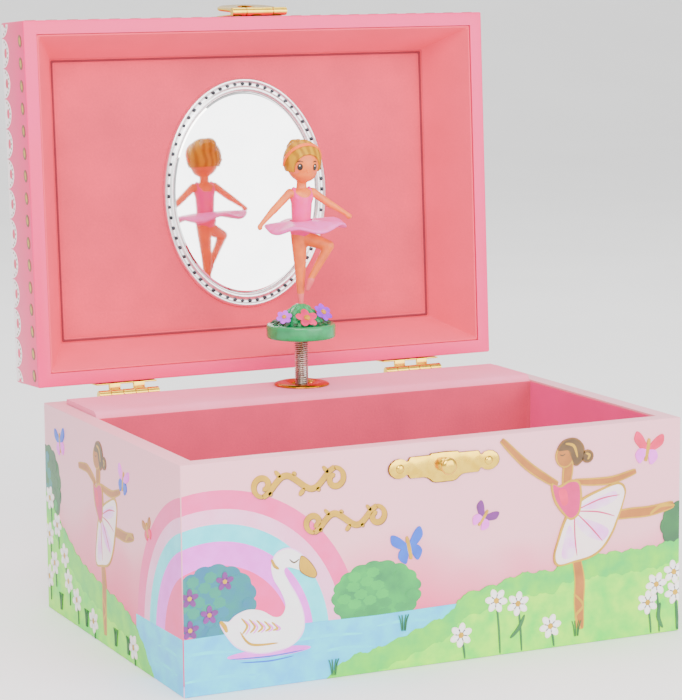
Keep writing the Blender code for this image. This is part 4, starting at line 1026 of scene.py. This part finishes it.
# ------------------------------------------------------------------ dancer
def build_spring():
    """Close coil that carries the dancer."""
    turns, per = 24, 28
    z0, z1 = PLATFORM_TOP - 1.6, DISC_BOTTOM - 1.0
    curve = bpy.data.curves.new("coil", "CURVE")
    curve.dimensions = "3D"
    curve.bevel_depth = 0.22
    curve.bevel_resolution = 3
    curve.use_fill_caps = True
    line = curve.splines.new("POLY")
    line.points.add(turns * per)
    for i, point in enumerate(line.points):
        angle = math.tau * i / per
        point.co = (SPINDLE_X + 1.85 * math.cos(angle), SPINDLE_Y + 1.85 * math.sin(angle), z0 + (z1 - z0) * i / (turns * per), 1.0)
    obj = bpy.data.objects.new("coil", curve)
    bpy.context.scene.collection.objects.link(obj)
    bm = evaluated_bmesh(obj)
    bmesh.ops.remove_doubles(bm, verts=bm.verts, dist=1e-3)
    coil = keep("fold_spring", bm, "case", steel(), None, True, ("dancer_spring",), 60, ride=False)
    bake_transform(coil)


def bloom(name, centre, radius, count, tilt, petal_mat, heart_mat, nodes):
    """Flower of rounded, cupped petals round a domed heart."""
    whole = bmesh.new()
    for k in range(count):
        petal = ball_bm((radius * 0.56, 0, 0.25), radius * 0.46, (1.0, 0.8, 0.22), 20)
        for v in petal.verts:
            v.co.z += 0.06 * (v.co.x / radius) ** 2 * radius - 0.12 * math.cos(2.5 * v.co.y / radius)
        bmesh.ops.rotate(petal, cent=(0, 0, 0), matrix=Matrix.Rotation(math.tau * k / count + 0.3, 3, "Z"), verts=petal.verts)
        merge(whole, petal)
    merge(whole, ball_bm((0, 0, 0.1), radius * 0.3, (1, 1, 0.5), 16))
    for face in whole.faces:
        face.material_index = 0
    heart = ball_bm((0, 0, 0.42), radius * 0.29, (1, 1, 0.62), 16)
    for face in heart.faces:
        face.material_index = 1
    merge(whole, heart)
    turn = Matrix.Rotation(math.radians(tilt[1]), 4, "Z") @ Matrix.Rotation(math.radians(tilt[0]), 4, "X")
    keep(name, whole, "dancer", [petal_mat, heart_mat], AT_DANCER @ Matrix.Translation(centre) @ turn, True, nodes, 60)


def build_garden():
    """Glossy disc with a mound of leaves and three flowers."""
    z = DISC_BOTTOM - PLATFORM_TOP
    top = z + 4.2
    shape = [(0.0, z + 4.0), (1.3, z + 4.0), (1.3, z), (9.9, z), (10.2, z + 0.15), (10.4, z + 0.45), (10.45, z + 0.8), (10.45, top - 0.8),
             (10.4, top - 0.4), (10.2, top - 0.12), (9.9, top), (6.6, top), (6.1, top + 0.9), (5.6, top + 1.7), (4.9, top + 2.6),
             (4.2, top + 3.4), (3.5, top + 4.1), (2.8, top + 4.8), (2.1, top + 5.4), (1.5, top + 5.9), (0.8, top + 6.08),
             (0.0, top + 6.1)]
    mint = once("mint_gloss_paint", paint, "#12A65D", "#218B52", 0.18, 0.05)
    keep("turning_disc", spun(shape, 72), "dancer", mint, AT_DANCER, True, ("garden_disc",), 40)
    green = once("leaf_green_paint", paint, "#285B38", "#1F462B", 0.4)
    leaf = ball_bm((0, 0, 0), 1.0, (1.35, 0.8, 0.34), 14)
    for v in leaf.verts:
        v.co.y *= 1.0 - 0.25 * v.co.x
        v.co.z -= 0.12 * v.co.x * v.co.x
    count = 20
    wreath = ring_of("leaf_ring", leaf, green, count, 8.1, 8.1, 0.9, 0.25)
    wreath.transform(AT_DANCER @ Matrix.Translation((0, 0, top + 0.75)))
    moss = once("mid_green_paint", paint, "#12B267", "#129157", 0.4)
    cover = bmesh.new()
    for lift, reach, number, size in ((1.1, 6.2, 15, 0.95), (2.4, 5.2, 12, 0.95), (3.8, 4.0, 9, 0.9), (5.0, 2.6, 6, 0.8)):
        extra = ring_of("leaf_ring_upper", leaf_copy(), moss, number, reach, reach, size, 0.75)
        extra.transform(AT_DANCER @ Matrix.Translation((0, 0, top + lift)) @ Matrix.Rotation(lift, 4, "Z"))
        merge(cover, extra)
    keep("moss", cover, "dancer", moss, None, True, (), 70)
    keep("leaves", wreath, "dancer", green, None, True, ("leaf_wreath",), 70)
    heart = once("yellow_paint", paint, "#E0A000", "#C88800", 0.4)
    bloom("rose_bloom", (-1.0, -6.4, top + 2.3), 3.5, 5, (42, 0), once("rose_paint", paint, "#F3126D", "#CB1959", 0.4, 0.1), heart,
          ("flower_pink",))
    bloom("lilac_bloom", (6.0, -2.8, top + 3.2), 3.1, 6, (50, 20), once("lilac_paint", paint, "#A812F7", "#8515D4", 0.4, 0.1), heart,
          ("flower_lilac_right",))
    bloom("pale_bloom", (-6.6, -2.4, top + 2.5), 2.4, 6, (50, -25), once("pale_lilac_paint", paint, "#D33EF7", "#AA35F3", 0.4, 0.1),
          heart, ("flower_lilac_left",))


def leaf_copy():
    leaf = ball_bm((0, 0, 0), 1.0, (1.35, 0.8, 0.34), 14)
    for v in leaf.verts:
        v.co.y *= 1.0 - 0.25 * v.co.x
        v.co.z -= 0.12 * v.co.x * v.co.x
    return leaf


def build_figure():
    """Dancer on one toe, arms low, one knee raised: skin, leotard and shoes."""
    limbs = [((0, 0, 24.95), (0, 0, 28.2), 0.72, 1.1), ((0, 0, 27.8), (0, 0.1, 35.2), 1.1, 1.75),
             ((0, 0.1, 34.7), (-0.4, 0, 45.5), 1.65, 2.5), ((1.4, -0.4, 44.7), (7.6, -3.8, 42.2), 2.4, 1.65),
             ((7.7, -3.9, 42.2), (2.2, -2.6, 32.4), 1.6, 0.95), ((2.4, -2.7, 32.8), (1.3, -2.3, 29.4), 1.0, 0.6),
             ((0.6, 0.1, 57.8), (0.8, 0, 63.6), 1.65, 1.4), ((-3.2, 0, 58.3), (-9.0, -0.6, 53.2), 1.3, 1.1),
             ((-8.7, -0.6, 53.6), (-13.3, -1.5, 49.4), 1.1, 0.7), ((4.2, 0, 58.3), (10.0, -0.6, 54.1), 1.3, 1.1),
             ((9.7, -0.6, 54.4), (15.0, -1.7, 51.0), 1.1, 0.7)]
    whole = limb_bm(*limbs[0])
    for spec in limbs[1:]:
        merge(whole, limb_bm(*spec))
    merge(whole, limb_bm((0.4, 0, 47.5), (0.6, 0, 57.0), 2.55, 3.0), ball_bm((0.6, 0, 57.6), 3.35, (1.12, 0.78, 0.66)),
          ball_bm((7.6, -3.8, 42.1), 1.72), ball_bm((-13.8, -1.7, 48.7), 0.95, (0.9, 0.7, 1.1)),
          ball_bm((15.4, -1.9, 50.5), 0.95, (1.1, 0.7, 0.9)), ball_bm((0.4, 0, 47.2), 3.3, (1.0, 0.82, 0.95)),
          ball_bm((1.0, -0.3, 67.2), 5.15, (0.96, 1.0, 1.13), 32), ball_bm((1.0, -1.1, 64.6), 3.9, (1.0, 0.95, 0.85), 32))
    skin = once("skin_paint", paint, "#F77C28", "#DE6830", 0.42, 0.15)
    voxel = 0.28
    keep("figure_skin", melt(whole, voxel, 5), "dancer", skin, AT_DANCER, True, ("dancer_figure",), 180)
    nose = ball_bm(on_head(-0.35, -2.5, -0.1), 0.42, (1.0, 0.8, 0.8))
    keep("nose", nose, "dancer", skin, AT_DANCER)
    bodice = limb_bm((0.4, 0, 47.6), (0.6, 0, 55.6), 2.8, 3.2, 40)
    merge(bodice, ball_bm((0.4, 0, 47.2), 3.6, (1.0, 0.84, 0.92), 32), ball_bm((0.6, -0.1, 56.4), 3.6, (1.02, 0.82, 0.62), 32))
    for side in (-1, 1):
        merge(bodice, limb_bm((0.6 + side * 2.3, -1.7, 57.0), (0.6 + side * 2.5, 0, 59.3), 0.85, 0.75),
              limb_bm((0.6 + side * 2.5, 0, 59.3), (0.6 + side * 2.3, 1.7, 57.0), 0.75, 0.85))
    pink = once("leotard_paint", paint, "#F71795", "#F7257D", 0.4, 0.1)
    keep("leotard", melt(bodice, 0.3, 4), "dancer", pink, AT_DANCER, True, (), 180)
    shoe = limb_bm((0, -0.02, 25.0), (0, 0, 27.6), 0.8, 1.1)
    merge(shoe, limb_bm((2.3, -2.66, 32.2), (1.25, -2.28, 29.3), 1.08, 0.68))
    keep("ballet_shoes", melt(shoe, 0.2, 2), "dancer", once("shoe_paint", paint, "#F06A6E", "#E85C66", 0.42, 0.1), AT_DANCER, True, (), 180)


def on_head(u, v, out=0.0):
    """A point on the front of the head: u across and v up, in millimetres from its middle."""
    depth = math.sqrt(max(5.15 ** 2 - (u / 0.96) ** 2 - (v / 1.13) ** 2, 0.1))
    return Vector((1.0 + u, -0.3 - depth - out, 67.2 + v))


def face_mark(points, thick=0.1, out=0.02):
    """Thin raised patch of paint that follows the head."""
    bm = bmesh.new()
    front = [bm.verts.new(on_head(u, v, out + thick)) for u, v in points]
    back = [bm.verts.new(on_head(u, v, out - 0.25)) for u, v in points]
    mid = bm.verts.new(on_head(sum(p[0] for p in points) / len(points), sum(p[1] for p in points) / len(points), out + thick * 1.6))
    rear = bm.verts.new(on_head(sum(p[0] for p in points) / len(points), sum(p[1] for p in points) / len(points), out - 0.3))
    for i in range(len(points)):
        j = (i + 1) % len(points)
        bm.faces.new((front[i], front[j], mid))
        bm.faces.new((back[j], back[i], rear))
        bm.faces.new((front[j], front[i], back[i], back[j]))
    return bm


def build_face():
    """Painted eyes, brows, cheeks and smile."""
    dark = once("dark_brown_paint", paint, "#22120A", "#160B06", 0.3)
    white = once("white_paint", paint, "#FFFFFF", "#F4F2F0", 0.3)
    coral = once("coral_paint", paint, "#E14355", "#D03D4D", 0.4)
    blush = once("blush_paint", paint, "#F75F4C", "#F77D52", 0.5)
    eyes, lights, brows, cheeks = bmesh.new(), bmesh.new(), bmesh.new(), bmesh.new()
    for side in (-1, 1):
        u, v = side * 2.3 - 0.45, -1.05 - side * 0.1
        merge(eyes, face_mark(oval(u, v, 0.66, 1.02, 0, 24)))
        merge(lights, face_mark(oval(u - 0.18, v + 0.4, 0.15, 0.2, 0, 14), 0.1, 0.14))
        merge(brows, face_mark(stroke([(u - 0.75, v + 1.5), (u, v + 1.8), (u + 0.75, v + 1.45)], 0.2, 0.4, 5)))
        merge(cheeks, face_mark(oval(u + side * 0.9, v - 1.5, 0.8, 0.55, 0, 20), 0.03, 0.0))
    merge(eyes, brows)
    keep("eyes", eyes, "dancer", dark, AT_DANCER)
    keep("eye_lights", lights, "dancer", white, AT_DANCER)
    keep("cheeks", cheeks, "dancer", blush, AT_DANCER)
    keep("smile", face_mark(stroke([(-1.2, -3.75), (-0.45, -4.05), (0.3, -3.75)], 0.34, 0.35, 6)), "dancer", coral, AT_DANCER)


def build_hair():
    """Cast hair with a fringe and a bun, and the band round the bun."""
    middle = Vector((1.0, 0.1, 67.7))
    shell = ball_bm(middle, 5.95, (0.97, 1.0, 1.07), 64)
    for v in shell.verts:
        turn = math.atan2(v.co.x - 1.0, -(v.co.y - 0.1))
        v.co += (v.co - middle).normalized() * 0.03 * math.sin(18 * turn + 0.7 * v.co.z)
    opening = ball_bm((0.7, -7.4, 64.6), 5.9, (0.93, 1.0, 0.96), 40)
    nape = cube_bm(-9, 11, -9, 9, 55, 64.6)
    hollow = ball_bm((1.0, -0.3, 67.2), 4.6, (0.96, 1.0, 1.13), 32)
    hair = carve(shell, opening, nape, hollow)
    for u, v, du, dv, r in ((2.2, 4.6, -2.4, 2.5, 1.0), (2.0, 4.9, -3.9, 1.6, 0.95), (2.4, 4.4, -0.9, 2.9, 0.95),
                            (2.6, 4.3, 0.7, 3.0, 0.9), (2.8, 4.2, 3.6, 1.9, 0.85), (1.6, 5.0, -4.6, 0.4, 0.8), (3.0, 4.1, 4.5, 0.6, 0.7)):
        merge(hair, limb_bm(on_head(u, v, 0.1), on_head(du, dv, 0.15), r * 0.9, r * 0.55, 16))
    bun = ball_bm((1.0, 4.3, 71.4), 2.9, (1, 1, 0.9), 40)
    for v in bun.verts:
        turn = math.atan2(v.co.z - 71.4, v.co.x - 1.0)
        v.co += (v.co - Vector((1.0, 4.3, 71.4))).normalized() * 0.1 * math.sin(5 * turn + 2.0 * v.co.y)
    merge(hair, bun)
    keep("hair", melt(hair, 0.24, 2), "dancer", once("golden_hair_paint", hair_paint), AT_DANCER, True, ("dancer_hair",), 180)
    place = Matrix.Translation(middle) @ Matrix.Diagonal((0.97, 1.0, 1.07, 1.0)) @ Matrix.Rotation(math.radians(-52), 4, "X")
    ring = [(6.0 + 0.38 * math.cos(math.tau * k / 14), 0.55 * math.sin(math.tau * k / 14)) for k in range(14)]
    hoop = carve(spun(ring, 96, place), cube_bm(-9, 11, -9, 9, 58, 66.3))
    peach = once("peach_paint", paint, "#F76F12", "#F55C12", 0.4, 0.1)
    keep("hair_band", hoop, "dancer", peach, AT_DANCER, True, ("dancer_headband",), 80)


def build_tutu():
    """Stiff skirt with five soft waves and a rounded hem."""
    bm = bmesh.new()
    steps = 180
    rings = [(3.5, 49.9, 0.0), (5.5, 49.7, 0.15), (8.0, 49.35, 0.35), (10.3, 48.95, 0.6), (11.7, 48.65, 0.78), (12.2, 48.4, 0.8),
             (12.4, 48.0, 0.8), (12.2, 47.65, 0.8), (11.6, 47.5, 0.78), (10.3, 47.6, 0.6), (8.0, 48.0, 0.35), (5.5, 48.3, 0.15),
             (3.5, 48.4, 0.0)]
    loops = []
    for radius, height, wave in rings:
        loop = []
        sway = 0.4 + 0.17 * (radius - 3.9)
        for i in range(steps):
            angle = math.tau * i / steps
            lift = wave * math.sin(5 * angle) + 0.05 * radius * math.cos(angle)
            loop.append(bm.verts.new((sway + radius * math.cos(angle), radius * math.sin(angle), height + lift)))
        loops.append(loop)
    for j in range(len(rings)):
        first, second = loops[j], loops[(j + 1) % len(rings)]
        for i in range(steps):
            bm.faces.new((first[i], first[(i + 1) % steps], second[(i + 1) % steps], second[i]))
    keep("tutu", bm, "dancer", once("tutu_paint", paint, "#F76FCD", "#F759AC", 0.42, 0.1), AT_DANCER, True, ("dancer_tutu",), 70)


# ------------------------------------------------------------------ fittings
def rounded(outline, per=6):
    return through(outline, True, per)


def cylinder_bm(radius, x0, x1, y, z, segments=32):
    bm = bmesh.new()
    bmesh.ops.create_cone(bm, cap_ends=True, segments=segments, radius1=radius, radius2=radius, depth=x1 - x0)
    bmesh.ops.rotate(bm, cent=(0, 0, 0), matrix=ALONG_X.to_3x3(), verts=bm.verts)
    bmesh.ops.translate(bm, vec=((x0 + x1) / 2, y, z), verts=bm.verts)
    bmesh.ops.bevel(bm, geom=[e for e in bm.edges if len(e.link_faces) == 2 and e.calc_face_angle(0.0) > 1.0],
                    offset=radius * 0.1, segments=2, affect="EDGES")
    return bm


def nail_bm(x, z, dome, matrix):
    head = [(0.0, 0.06), (0.45, 0.06), (0.45, dome[0]), (dome[1], dome[0]), (dome[1] - 0.05, dome[0] + 0.12),
            (dome[1] * 0.85, dome[0] + 0.3), (dome[1] * 0.55, dome[0] + 0.48), (dome[1] * 0.25, dome[0] + 0.58), (0.0, dome[0] + 0.6)]
    return spun(head, 28, matrix @ Matrix.Translation((x, z, 0)))


LATCH_X, LATCH_Z = 0.6, 55.3
HASP_Z = LID_RIM + 3.0
HASP_Y = FRONT - 1.55


def build_latch():
    """Stamped plate with a turned knob on the front board."""
    at = Matrix.Translation((0, FRONT, 0)) @ UPRIGHT
    half = [(0.0, -4.6), (2.6, -4.6), (3.6, -4.3), (4.4, -3.6), (5.2, -3.1), (6.2, -2.9), (10.2, -2.9), (10.6, -2.5), (10.9, -1.9),
            (11.5, -1.8), (12.2, -2.4), (13.4, -2.7), (14.8, -2.5), (16.0, -1.7), (16.6, -0.9), (16.8, 0.0), (16.6, 0.9), (16.0, 1.7),
            (14.8, 2.5), (13.4, 2.7), (12.2, 2.4), (11.5, 1.8), (10.9, 1.9), (10.6, 2.5), (10.2, 2.9), (4.4, 2.9), (4.0, 3.3), (0.0, 3.4)]
    outline = half + [(-x, z) for x, z in reversed(half) if x > 0]
    plate = plate_bm([(x + LATCH_X, z + LATCH_Z) for x, z in outline], 0.3, 0.62, 0.1, 2)
    # A thin dark plate, a little larger than the gilt one, sits under its edge as a painted shadow round the plate.
    rim = plate_bm(grow([(x + LATCH_X, z + LATCH_Z) for x, z in outline], 0.22), 0.3, 0.4)
    for face in rim.faces:
        face.material_index = 1
    merge(plate, rim)
    keep("latch_plate_gilt", plate, "case", [gold(), once("tarnished_edge", metal, "#7A5418", "#5A3C10", 0.4)], at, True, ("latch_plate",), 30)
    knob = [(0.0, 0.65), (2.0, 0.65), (2.0, 0.85), (1.62, 1.15), (1.5, 1.6), (1.55, 2.0), (1.85, 2.35), (2.2, 2.6), (2.35, 2.9),
            (2.3, 3.25), (2.05, 3.6), (1.6, 3.88), (0.9, 4.04), (0.0, 4.1)]
    keep("latch_knob_gilt", spun(knob, 56, at @ Matrix.Translation((LATCH_X, LATCH_Z, 0))), "case", gold(), None, True,
         ("latch_knob",), 60)
    for label, dx in (("left", -13.5), ("right", 13.5)):
        keep("latch_nail_%s_gilt" % label, nail_bm(LATCH_X + dx, LATCH_Z, (0.65, 1.25), at), "case", gold(), None, True,
             ("latch_nail_" + label,), 60)


def build_hasp():
    """Hasp plate with two knuckles on the lid, and the tongue folded back."""
    plate = cube_bm(LATCH_X - 9, LATCH_X + 9, FRONT - 0.75, FRONT - 0.3, HASP_Z + 2.0, HASP_Z + 12.0, 0.18, 2)
    for x in (-9.0, 4.5):
        a, b = LATCH_X + x, LATCH_X + x + 4.5
        merge(plate, cylinder_bm(1.25, a, b, HASP_Y, HASP_Z),
              cube_bm(a + 0.05, b - 0.05, FRONT - 0.75, FRONT - 0.3, HASP_Z + 0.3, HASP_Z + 2.4, 0.1, 2),
              cube_bm(a + 0.05, b - 0.05, HASP_Y - 0.2, FRONT - 0.4, HASP_Z + 0.3, HASP_Z + 1.1, 0.1, 2))
    for dx in (-5.5, 5.5):
        merge(plate, ball_bm((LATCH_X + dx, FRONT - 0.75, HASP_Z + 7.5), 1.1, (1, 0.45, 1), 20))
    keep("hasp_plate_gilt", plate, "lid", gold(), OPEN, True, ("hasp_plate",), 40)
    drop = LATCH_Z - HASP_Z
    half = [(0.0, drop - 4.6), (2.6, drop - 4.3), (6.5, drop - 3.4), (9.2, drop - 0.8), (10.1, drop + 2.4), (8.2, drop + 4.6),
            (6.9, 3.0 + drop + 4.0), (6.0, -2.3), (4.2, -2.0), (2.0, -2.0)]
    outline = half + [(-x, z) for x, z in reversed(half) if x > 0]
    y0 = -HASP_Y + 0.35
    at = Matrix.Translation((LATCH_X, 0, HASP_Z)) @ UPRIGHT
    leaf = plate_bm(rounded(outline), y0, y0 + 0.7, 0.14, 2)
    leaf.transform(at)
    eye = bmesh.new()
    bmesh.ops.create_cone(eye, cap_ends=True, segments=48, radius1=2.75, radius2=2.75, depth=8)
    eye.transform(Matrix.Translation((LATCH_X, HASP_Y, LATCH_Z)) @ UPRIGHT)
    tongue = carve(leaf, eye)
    merge(tongue, cylinder_bm(1.25, LATCH_X - 4.3, LATCH_X + 4.3, HASP_Y, HASP_Z),
          cube_bm(LATCH_X - 4.0, LATCH_X + 4.0, HASP_Y - 1.05, HASP_Y - 0.35, HASP_Z - 3.0, HASP_Z - 0.3, 0.12, 2))
    fold = (Matrix.Translation((0, HASP_Y, HASP_Z)) @ Matrix.Rotation(math.radians(-168.0), 4, "X")
            @ Matrix.Translation((0, -HASP_Y, -HASP_Z)))
    keep("hasp_tongue_gilt", tongue, "hasp", gold(), OPEN @ fold, True, ("hasp_tongue",), 35)


def build_hinges():
    """Pair of five-knuckle butt hinges with domed nails."""
    back = BOX_D / 2
    step = 19.5 / 5
    outward = Matrix.Translation((0, back, 0)) @ Matrix.Rotation(math.pi, 4, "Z") @ UPRIGHT
    for label, side in (("left", -1), ("right", 1)):
        x0 = side * 47.9 - 19.5 / 2
        for leaf, low, high, strap, numbers in (("box", 50.0, 60.7, (60.0, 60.9), (0, 2, 4)),
                                                ("lid", 63.0, 73.7, (62.85, 63.75), (1, 3))):
            plate = cube_bm(x0 + 0.1, x0 + 19.4, back + 0.3, back + 0.75, low, high, 0.15, 2)
            for i in numbers:
                a, b = x0 + i * step + 0.12, x0 + (i + 1) * step - 0.12
                merge(plate, cube_bm(a + 0.03, b - 0.03, back + 0.35, HINGE_Y - 0.6, *strap, 0.1, 2),
                      cylinder_bm(1.5, a, b, HINGE_Y, HINGE_Z))
            nail_z = (low + high) / 2 + (-1.0 if leaf == "box" else 1.0)
            nail = nail_bm(-side * 47.9, nail_z, (0.8, 1.25), outward)
            body, place = ("case", None) if leaf == "box" else ("lid", OPEN)
            keep("hinge_%s_%s_leaf" % (label, leaf), plate, body, gold(), place, True, ("hinge_%s_leaf_%s" % (label, leaf),), 40)
            keep("hinge_%s_%s_nail" % (label, leaf), nail, body, gold(), place, True, ("hinge_%s_nail_%s" % (label, leaf),), 60)


def dress_movement():
    """Gives the musical movement and the small pins their metals."""
    finishes = {
        "movement_frame": brass(), "comb": steel(), "barrel_drum": brass(), "barrel_cover": brass(), "crown_wheel": brass(),
        "mainspring": once("blued_spring_steel", metal, "#6E7686", "#4C5260", 0.3), "winding_arbor": steel(),
        "winding_key": gold(), "spindle": steel(), "cylinder": brass(), "governor": steel(), "stop_wire": steel(),
        "spring_cap": brass(), "hasp_pin": gold(), "hinge_left_pin": gold(), "hinge_right_pin": gold(),
    }
    for node, mat in finishes.items():
        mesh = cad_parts[node].data
        mesh.materials.clear()
        mesh.materials.append(mat)


# ------------------------------------------------------------------ stage
def lamp(name, place, aim, size, power, tint):
    light = bpy.data.lights.new(name, "AREA")
    light.shape = "RECTANGLE"
    light.size, light.size_y = size
    light.energy = power
    light.color = linear(tint)[:3]
    obj = bpy.data.objects.new(name, light)
    obj.location = place
    obj.rotation_euler = (Vector(aim) - Vector(place)).to_track_quat("-Z", "Y").to_euler()
    bpy.context.scene.collection.objects.link(obj)


def backdrop_paper(name):
    """White studio paper with a faint fibre."""
    mat, tree, shader = blank(name, 0.9)
    place = add(tree, "ShaderNodeTexCoord")
    fibre = add(tree, "ShaderNodeTexNoise", [("Vector", place, "Object")], Scale=8.0, Detail=4.0)
    tone = ramp(tree, fibre, "Fac", [(0.3, linear("#FAFAFA")), (0.7, linear("#FFFFFF"))])
    tree.links.new(tone.outputs["Color"], shader.inputs["Base Color"])
    return mat


def build_stage():
    """White sweep, three soft lamps, pale surroundings and the camera."""
    bm = bmesh.new()
    line = [(-3.0, 0.0), (1.2, 0.0)] + [(1.2 + 1.2 * math.sin(math.radians(a)), 1.2 - 1.2 * math.cos(math.radians(a)))
                                       for a in range(10, 91, 10)] + [(2.4, 4.0)]
    verts = [bm.verts.new((-5.0, y, z)) for y, z in line]
    edges = [bm.edges.new(pair) for pair in zip(verts, verts[1:])]
    grown = bmesh.ops.extrude_edge_only(bm, edges=edges)
    bmesh.ops.translate(bm, vec=(10, 0, 0), verts=[v for v in grown["geom"] if isinstance(v, bmesh.types.BMVert)])
    mesh = bpy.data.meshes.new("sweep")
    bm.to_mesh(mesh)
    bm.free()
    mesh.shade_smooth()
    mesh.materials.append(once("backdrop_paper", backdrop_paper))
    sweep = bpy.data.objects.new("sweep", mesh)
    bpy.context.scene.collection.objects.link(sweep)
    lamp("key", (-0.55, -0.95, 0.85), (0, 0, 0.08), (0.7, 0.7), 16.0, "#FFFBF5")
    lamp("card", (0.75, -1.7, 0.45), (0, 0, 0.10), (1.9, 1.7), 50.0, "#FFFFFF")
    lamp("top", (0.0, 0.3, 1.2), (0, 0, 0.05), (1.0, 1.0), 12.0, "#FFFFFF")
    world = bpy.data.worlds.new("studio")
    bpy.context.scene.world = world
    world.use_nodes = True
    sky = world.node_tree.nodes["Background"]
    sky.inputs["Color"].default_value = (1.0, 1.0, 1.0, 1.0)
    sky.inputs["Strength"].default_value = 1.05
    view = settings()
    camera = bpy.data.cameras.new("camera")
    camera.lens = view.lens
    camera.sensor_width = 36.0
    camera.clip_start = 0.01
    obj = bpy.data.objects.new("camera", camera)
    aim = Vector((-0.00434, 0.0, 0.07964))
    distance = 0.7383
    out = Vector((math.sin(view.azimuth) * math.cos(view.elevation), -math.cos(view.azimuth) * math.cos(view.elevation),
                  math.sin(view.elevation)))
    obj.location = aim + out * distance
    turn = (-out).to_track_quat("-Z", "Y").to_matrix() @ Matrix.Rotation(view.roll, 3, "Z")
    obj.rotation_euler = turn.to_euler()
    bpy.context.scene.collection.objects.link(obj)
    bpy.context.scene.camera = obj


# ------------------------------------------------------------------ operators
class BuildStep:
    bl_options = {"REGISTER", "UNDO"}

    def execute(self, context):
        self.build()
        return {"FINISHED"}


class JEWELBOX_OT_stage(BuildStep, bpy.types.Operator):
    """Set up the white sweep, the lamps and the camera"""
    bl_idname = "jewelbox.stage"
    bl_label = "Stage and camera"
    build = staticmethod(build_stage)


class JEWELBOX_OT_casing(BuildStep, bpy.types.Operator):
    """Build the wrapped casing and its print"""
    bl_idname = "jewelbox.casing"
    bl_label = "Casing"
    build = staticmethod(build_casing)


class JEWELBOX_OT_compartment(BuildStep, bpy.types.Operator):
    """Build the flocked tray of the compartment"""
    bl_idname = "jewelbox.compartment"
    bl_label = "Compartment lining"
    build = staticmethod(build_compartment)


class JEWELBOX_OT_lid(BuildStep, bpy.types.Operator):
    """Build the lid, its print and its padded lining"""
    bl_idname = "jewelbox.lid"
    bl_label = "Lid"
    build = staticmethod(build_lid)


class JEWELBOX_OT_mirror(BuildStep, bpy.types.Operator):
    """Build the oval mirror and its beaded frame"""
    bl_idname = "jewelbox.mirror"
    bl_label = "Mirror"
    build = staticmethod(build_mirror)


class JEWELBOX_OT_platform(BuildStep, bpy.types.Operator):
    """Build the cloth-covered platform and the brass eyelet"""
    bl_idname = "jewelbox.platform"
    bl_label = "Platform"
    build = staticmethod(build_platform)


class JEWELBOX_OT_spring(BuildStep, bpy.types.Operator):
    """Build the coil spring under the dancer"""
    bl_idname = "jewelbox.spring"
    bl_label = "Fold spring"
    build = staticmethod(build_spring)


class JEWELBOX_OT_garden(BuildStep, bpy.types.Operator):
    """Build the turning disc with leaves and flowers"""
    bl_idname = "jewelbox.garden"
    bl_label = "Turning disc"
    build = staticmethod(build_garden)


class JEWELBOX_OT_figure(BuildStep, bpy.types.Operator):
    """Build the dancer's body, leotard and shoes"""
    bl_idname = "jewelbox.figure"
    bl_label = "Dancer"
    build = staticmethod(build_figure)


class JEWELBOX_OT_face(BuildStep, bpy.types.Operator):
    """Paint the dancer's face"""
    bl_idname = "jewelbox.face"
    bl_label = "Face"
    build = staticmethod(build_face)


class JEWELBOX_OT_hair(BuildStep, bpy.types.Operator):
    """Build the hair, bun and band"""
    bl_idname = "jewelbox.hair"
    bl_label = "Hair"
    build = staticmethod(build_hair)


class JEWELBOX_OT_tutu(BuildStep, bpy.types.Operator):
    """Build the waved skirt"""
    bl_idname = "jewelbox.tutu"
    bl_label = "Tutu"
    build = staticmethod(build_tutu)


class JEWELBOX_OT_latch(BuildStep, bpy.types.Operator):
    """Build the latch plate, knob and nails"""
    bl_idname = "jewelbox.latch"
    bl_label = "Latch"
    build = staticmethod(build_latch)


class JEWELBOX_OT_hasp(BuildStep, bpy.types.Operator):
    """Build the hasp plate and its tongue"""
    bl_idname = "jewelbox.hasp"
    bl_label = "Hasp"
    build = staticmethod(build_hasp)


class JEWELBOX_OT_hinges(BuildStep, bpy.types.Operator):
    """Build the two butt hinges"""
    bl_idname = "jewelbox.hinges"
    bl_label = "Hinges"
    build = staticmethod(build_hinges)


class JEWELBOX_OT_movement(BuildStep, bpy.types.Operator):
    """Finish the musical movement's metals"""
    bl_idname = "jewelbox.movement"
    bl_label = "Movement finishes"
    build = staticmethod(dress_movement)


STEPS = (JEWELBOX_OT_stage, JEWELBOX_OT_casing, JEWELBOX_OT_compartment, JEWELBOX_OT_lid, JEWELBOX_OT_mirror,
         JEWELBOX_OT_platform, JEWELBOX_OT_spring, JEWELBOX_OT_garden, JEWELBOX_OT_figure, JEWELBOX_OT_face,
         JEWELBOX_OT_hair, JEWELBOX_OT_tutu, JEWELBOX_OT_latch, JEWELBOX_OT_hasp, JEWELBOX_OT_hinges, JEWELBOX_OT_movement)


class JEWELBOX_PT_panel(bpy.types.Panel):
    """Lists the building steps in order"""
    bl_idname = "JEWELBOX_PT_panel"
    bl_label = "Jewellery box"
    bl_space_type = "VIEW_3D"
    bl_region_type = "UI"
    bl_category = "Jewellery box"

    def draw(self, context):
        box = context.scene.jewellery_box
        for name in box.bl_rna.properties.keys():
            if name not in ("rna_type", "name"):
                self.layout.prop(box, name)
        for step in STEPS:
            self.layout.operator(step.bl_idname)


CLASSES = (BoxSettings,) + STEPS + (JEWELBOX_PT_panel,)


def register():
    for cls in CLASSES:
        bpy.utils.register_class(cls)
    bpy.types.Scene.jewellery_box = bpy.props.PointerProperty(type=BoxSettings)


def unregister():
    del bpy.types.Scene.jewellery_box
    for cls in reversed(CLASSES):
        bpy.utils.unregister_class(cls)


def main():
    register()
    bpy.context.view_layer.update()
    for step in STEPS:
        group, name = step.bl_idname.split(".")
        getattr(getattr(bpy.ops, group), name)()
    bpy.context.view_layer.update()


if __name__ == "__main__":
    main()
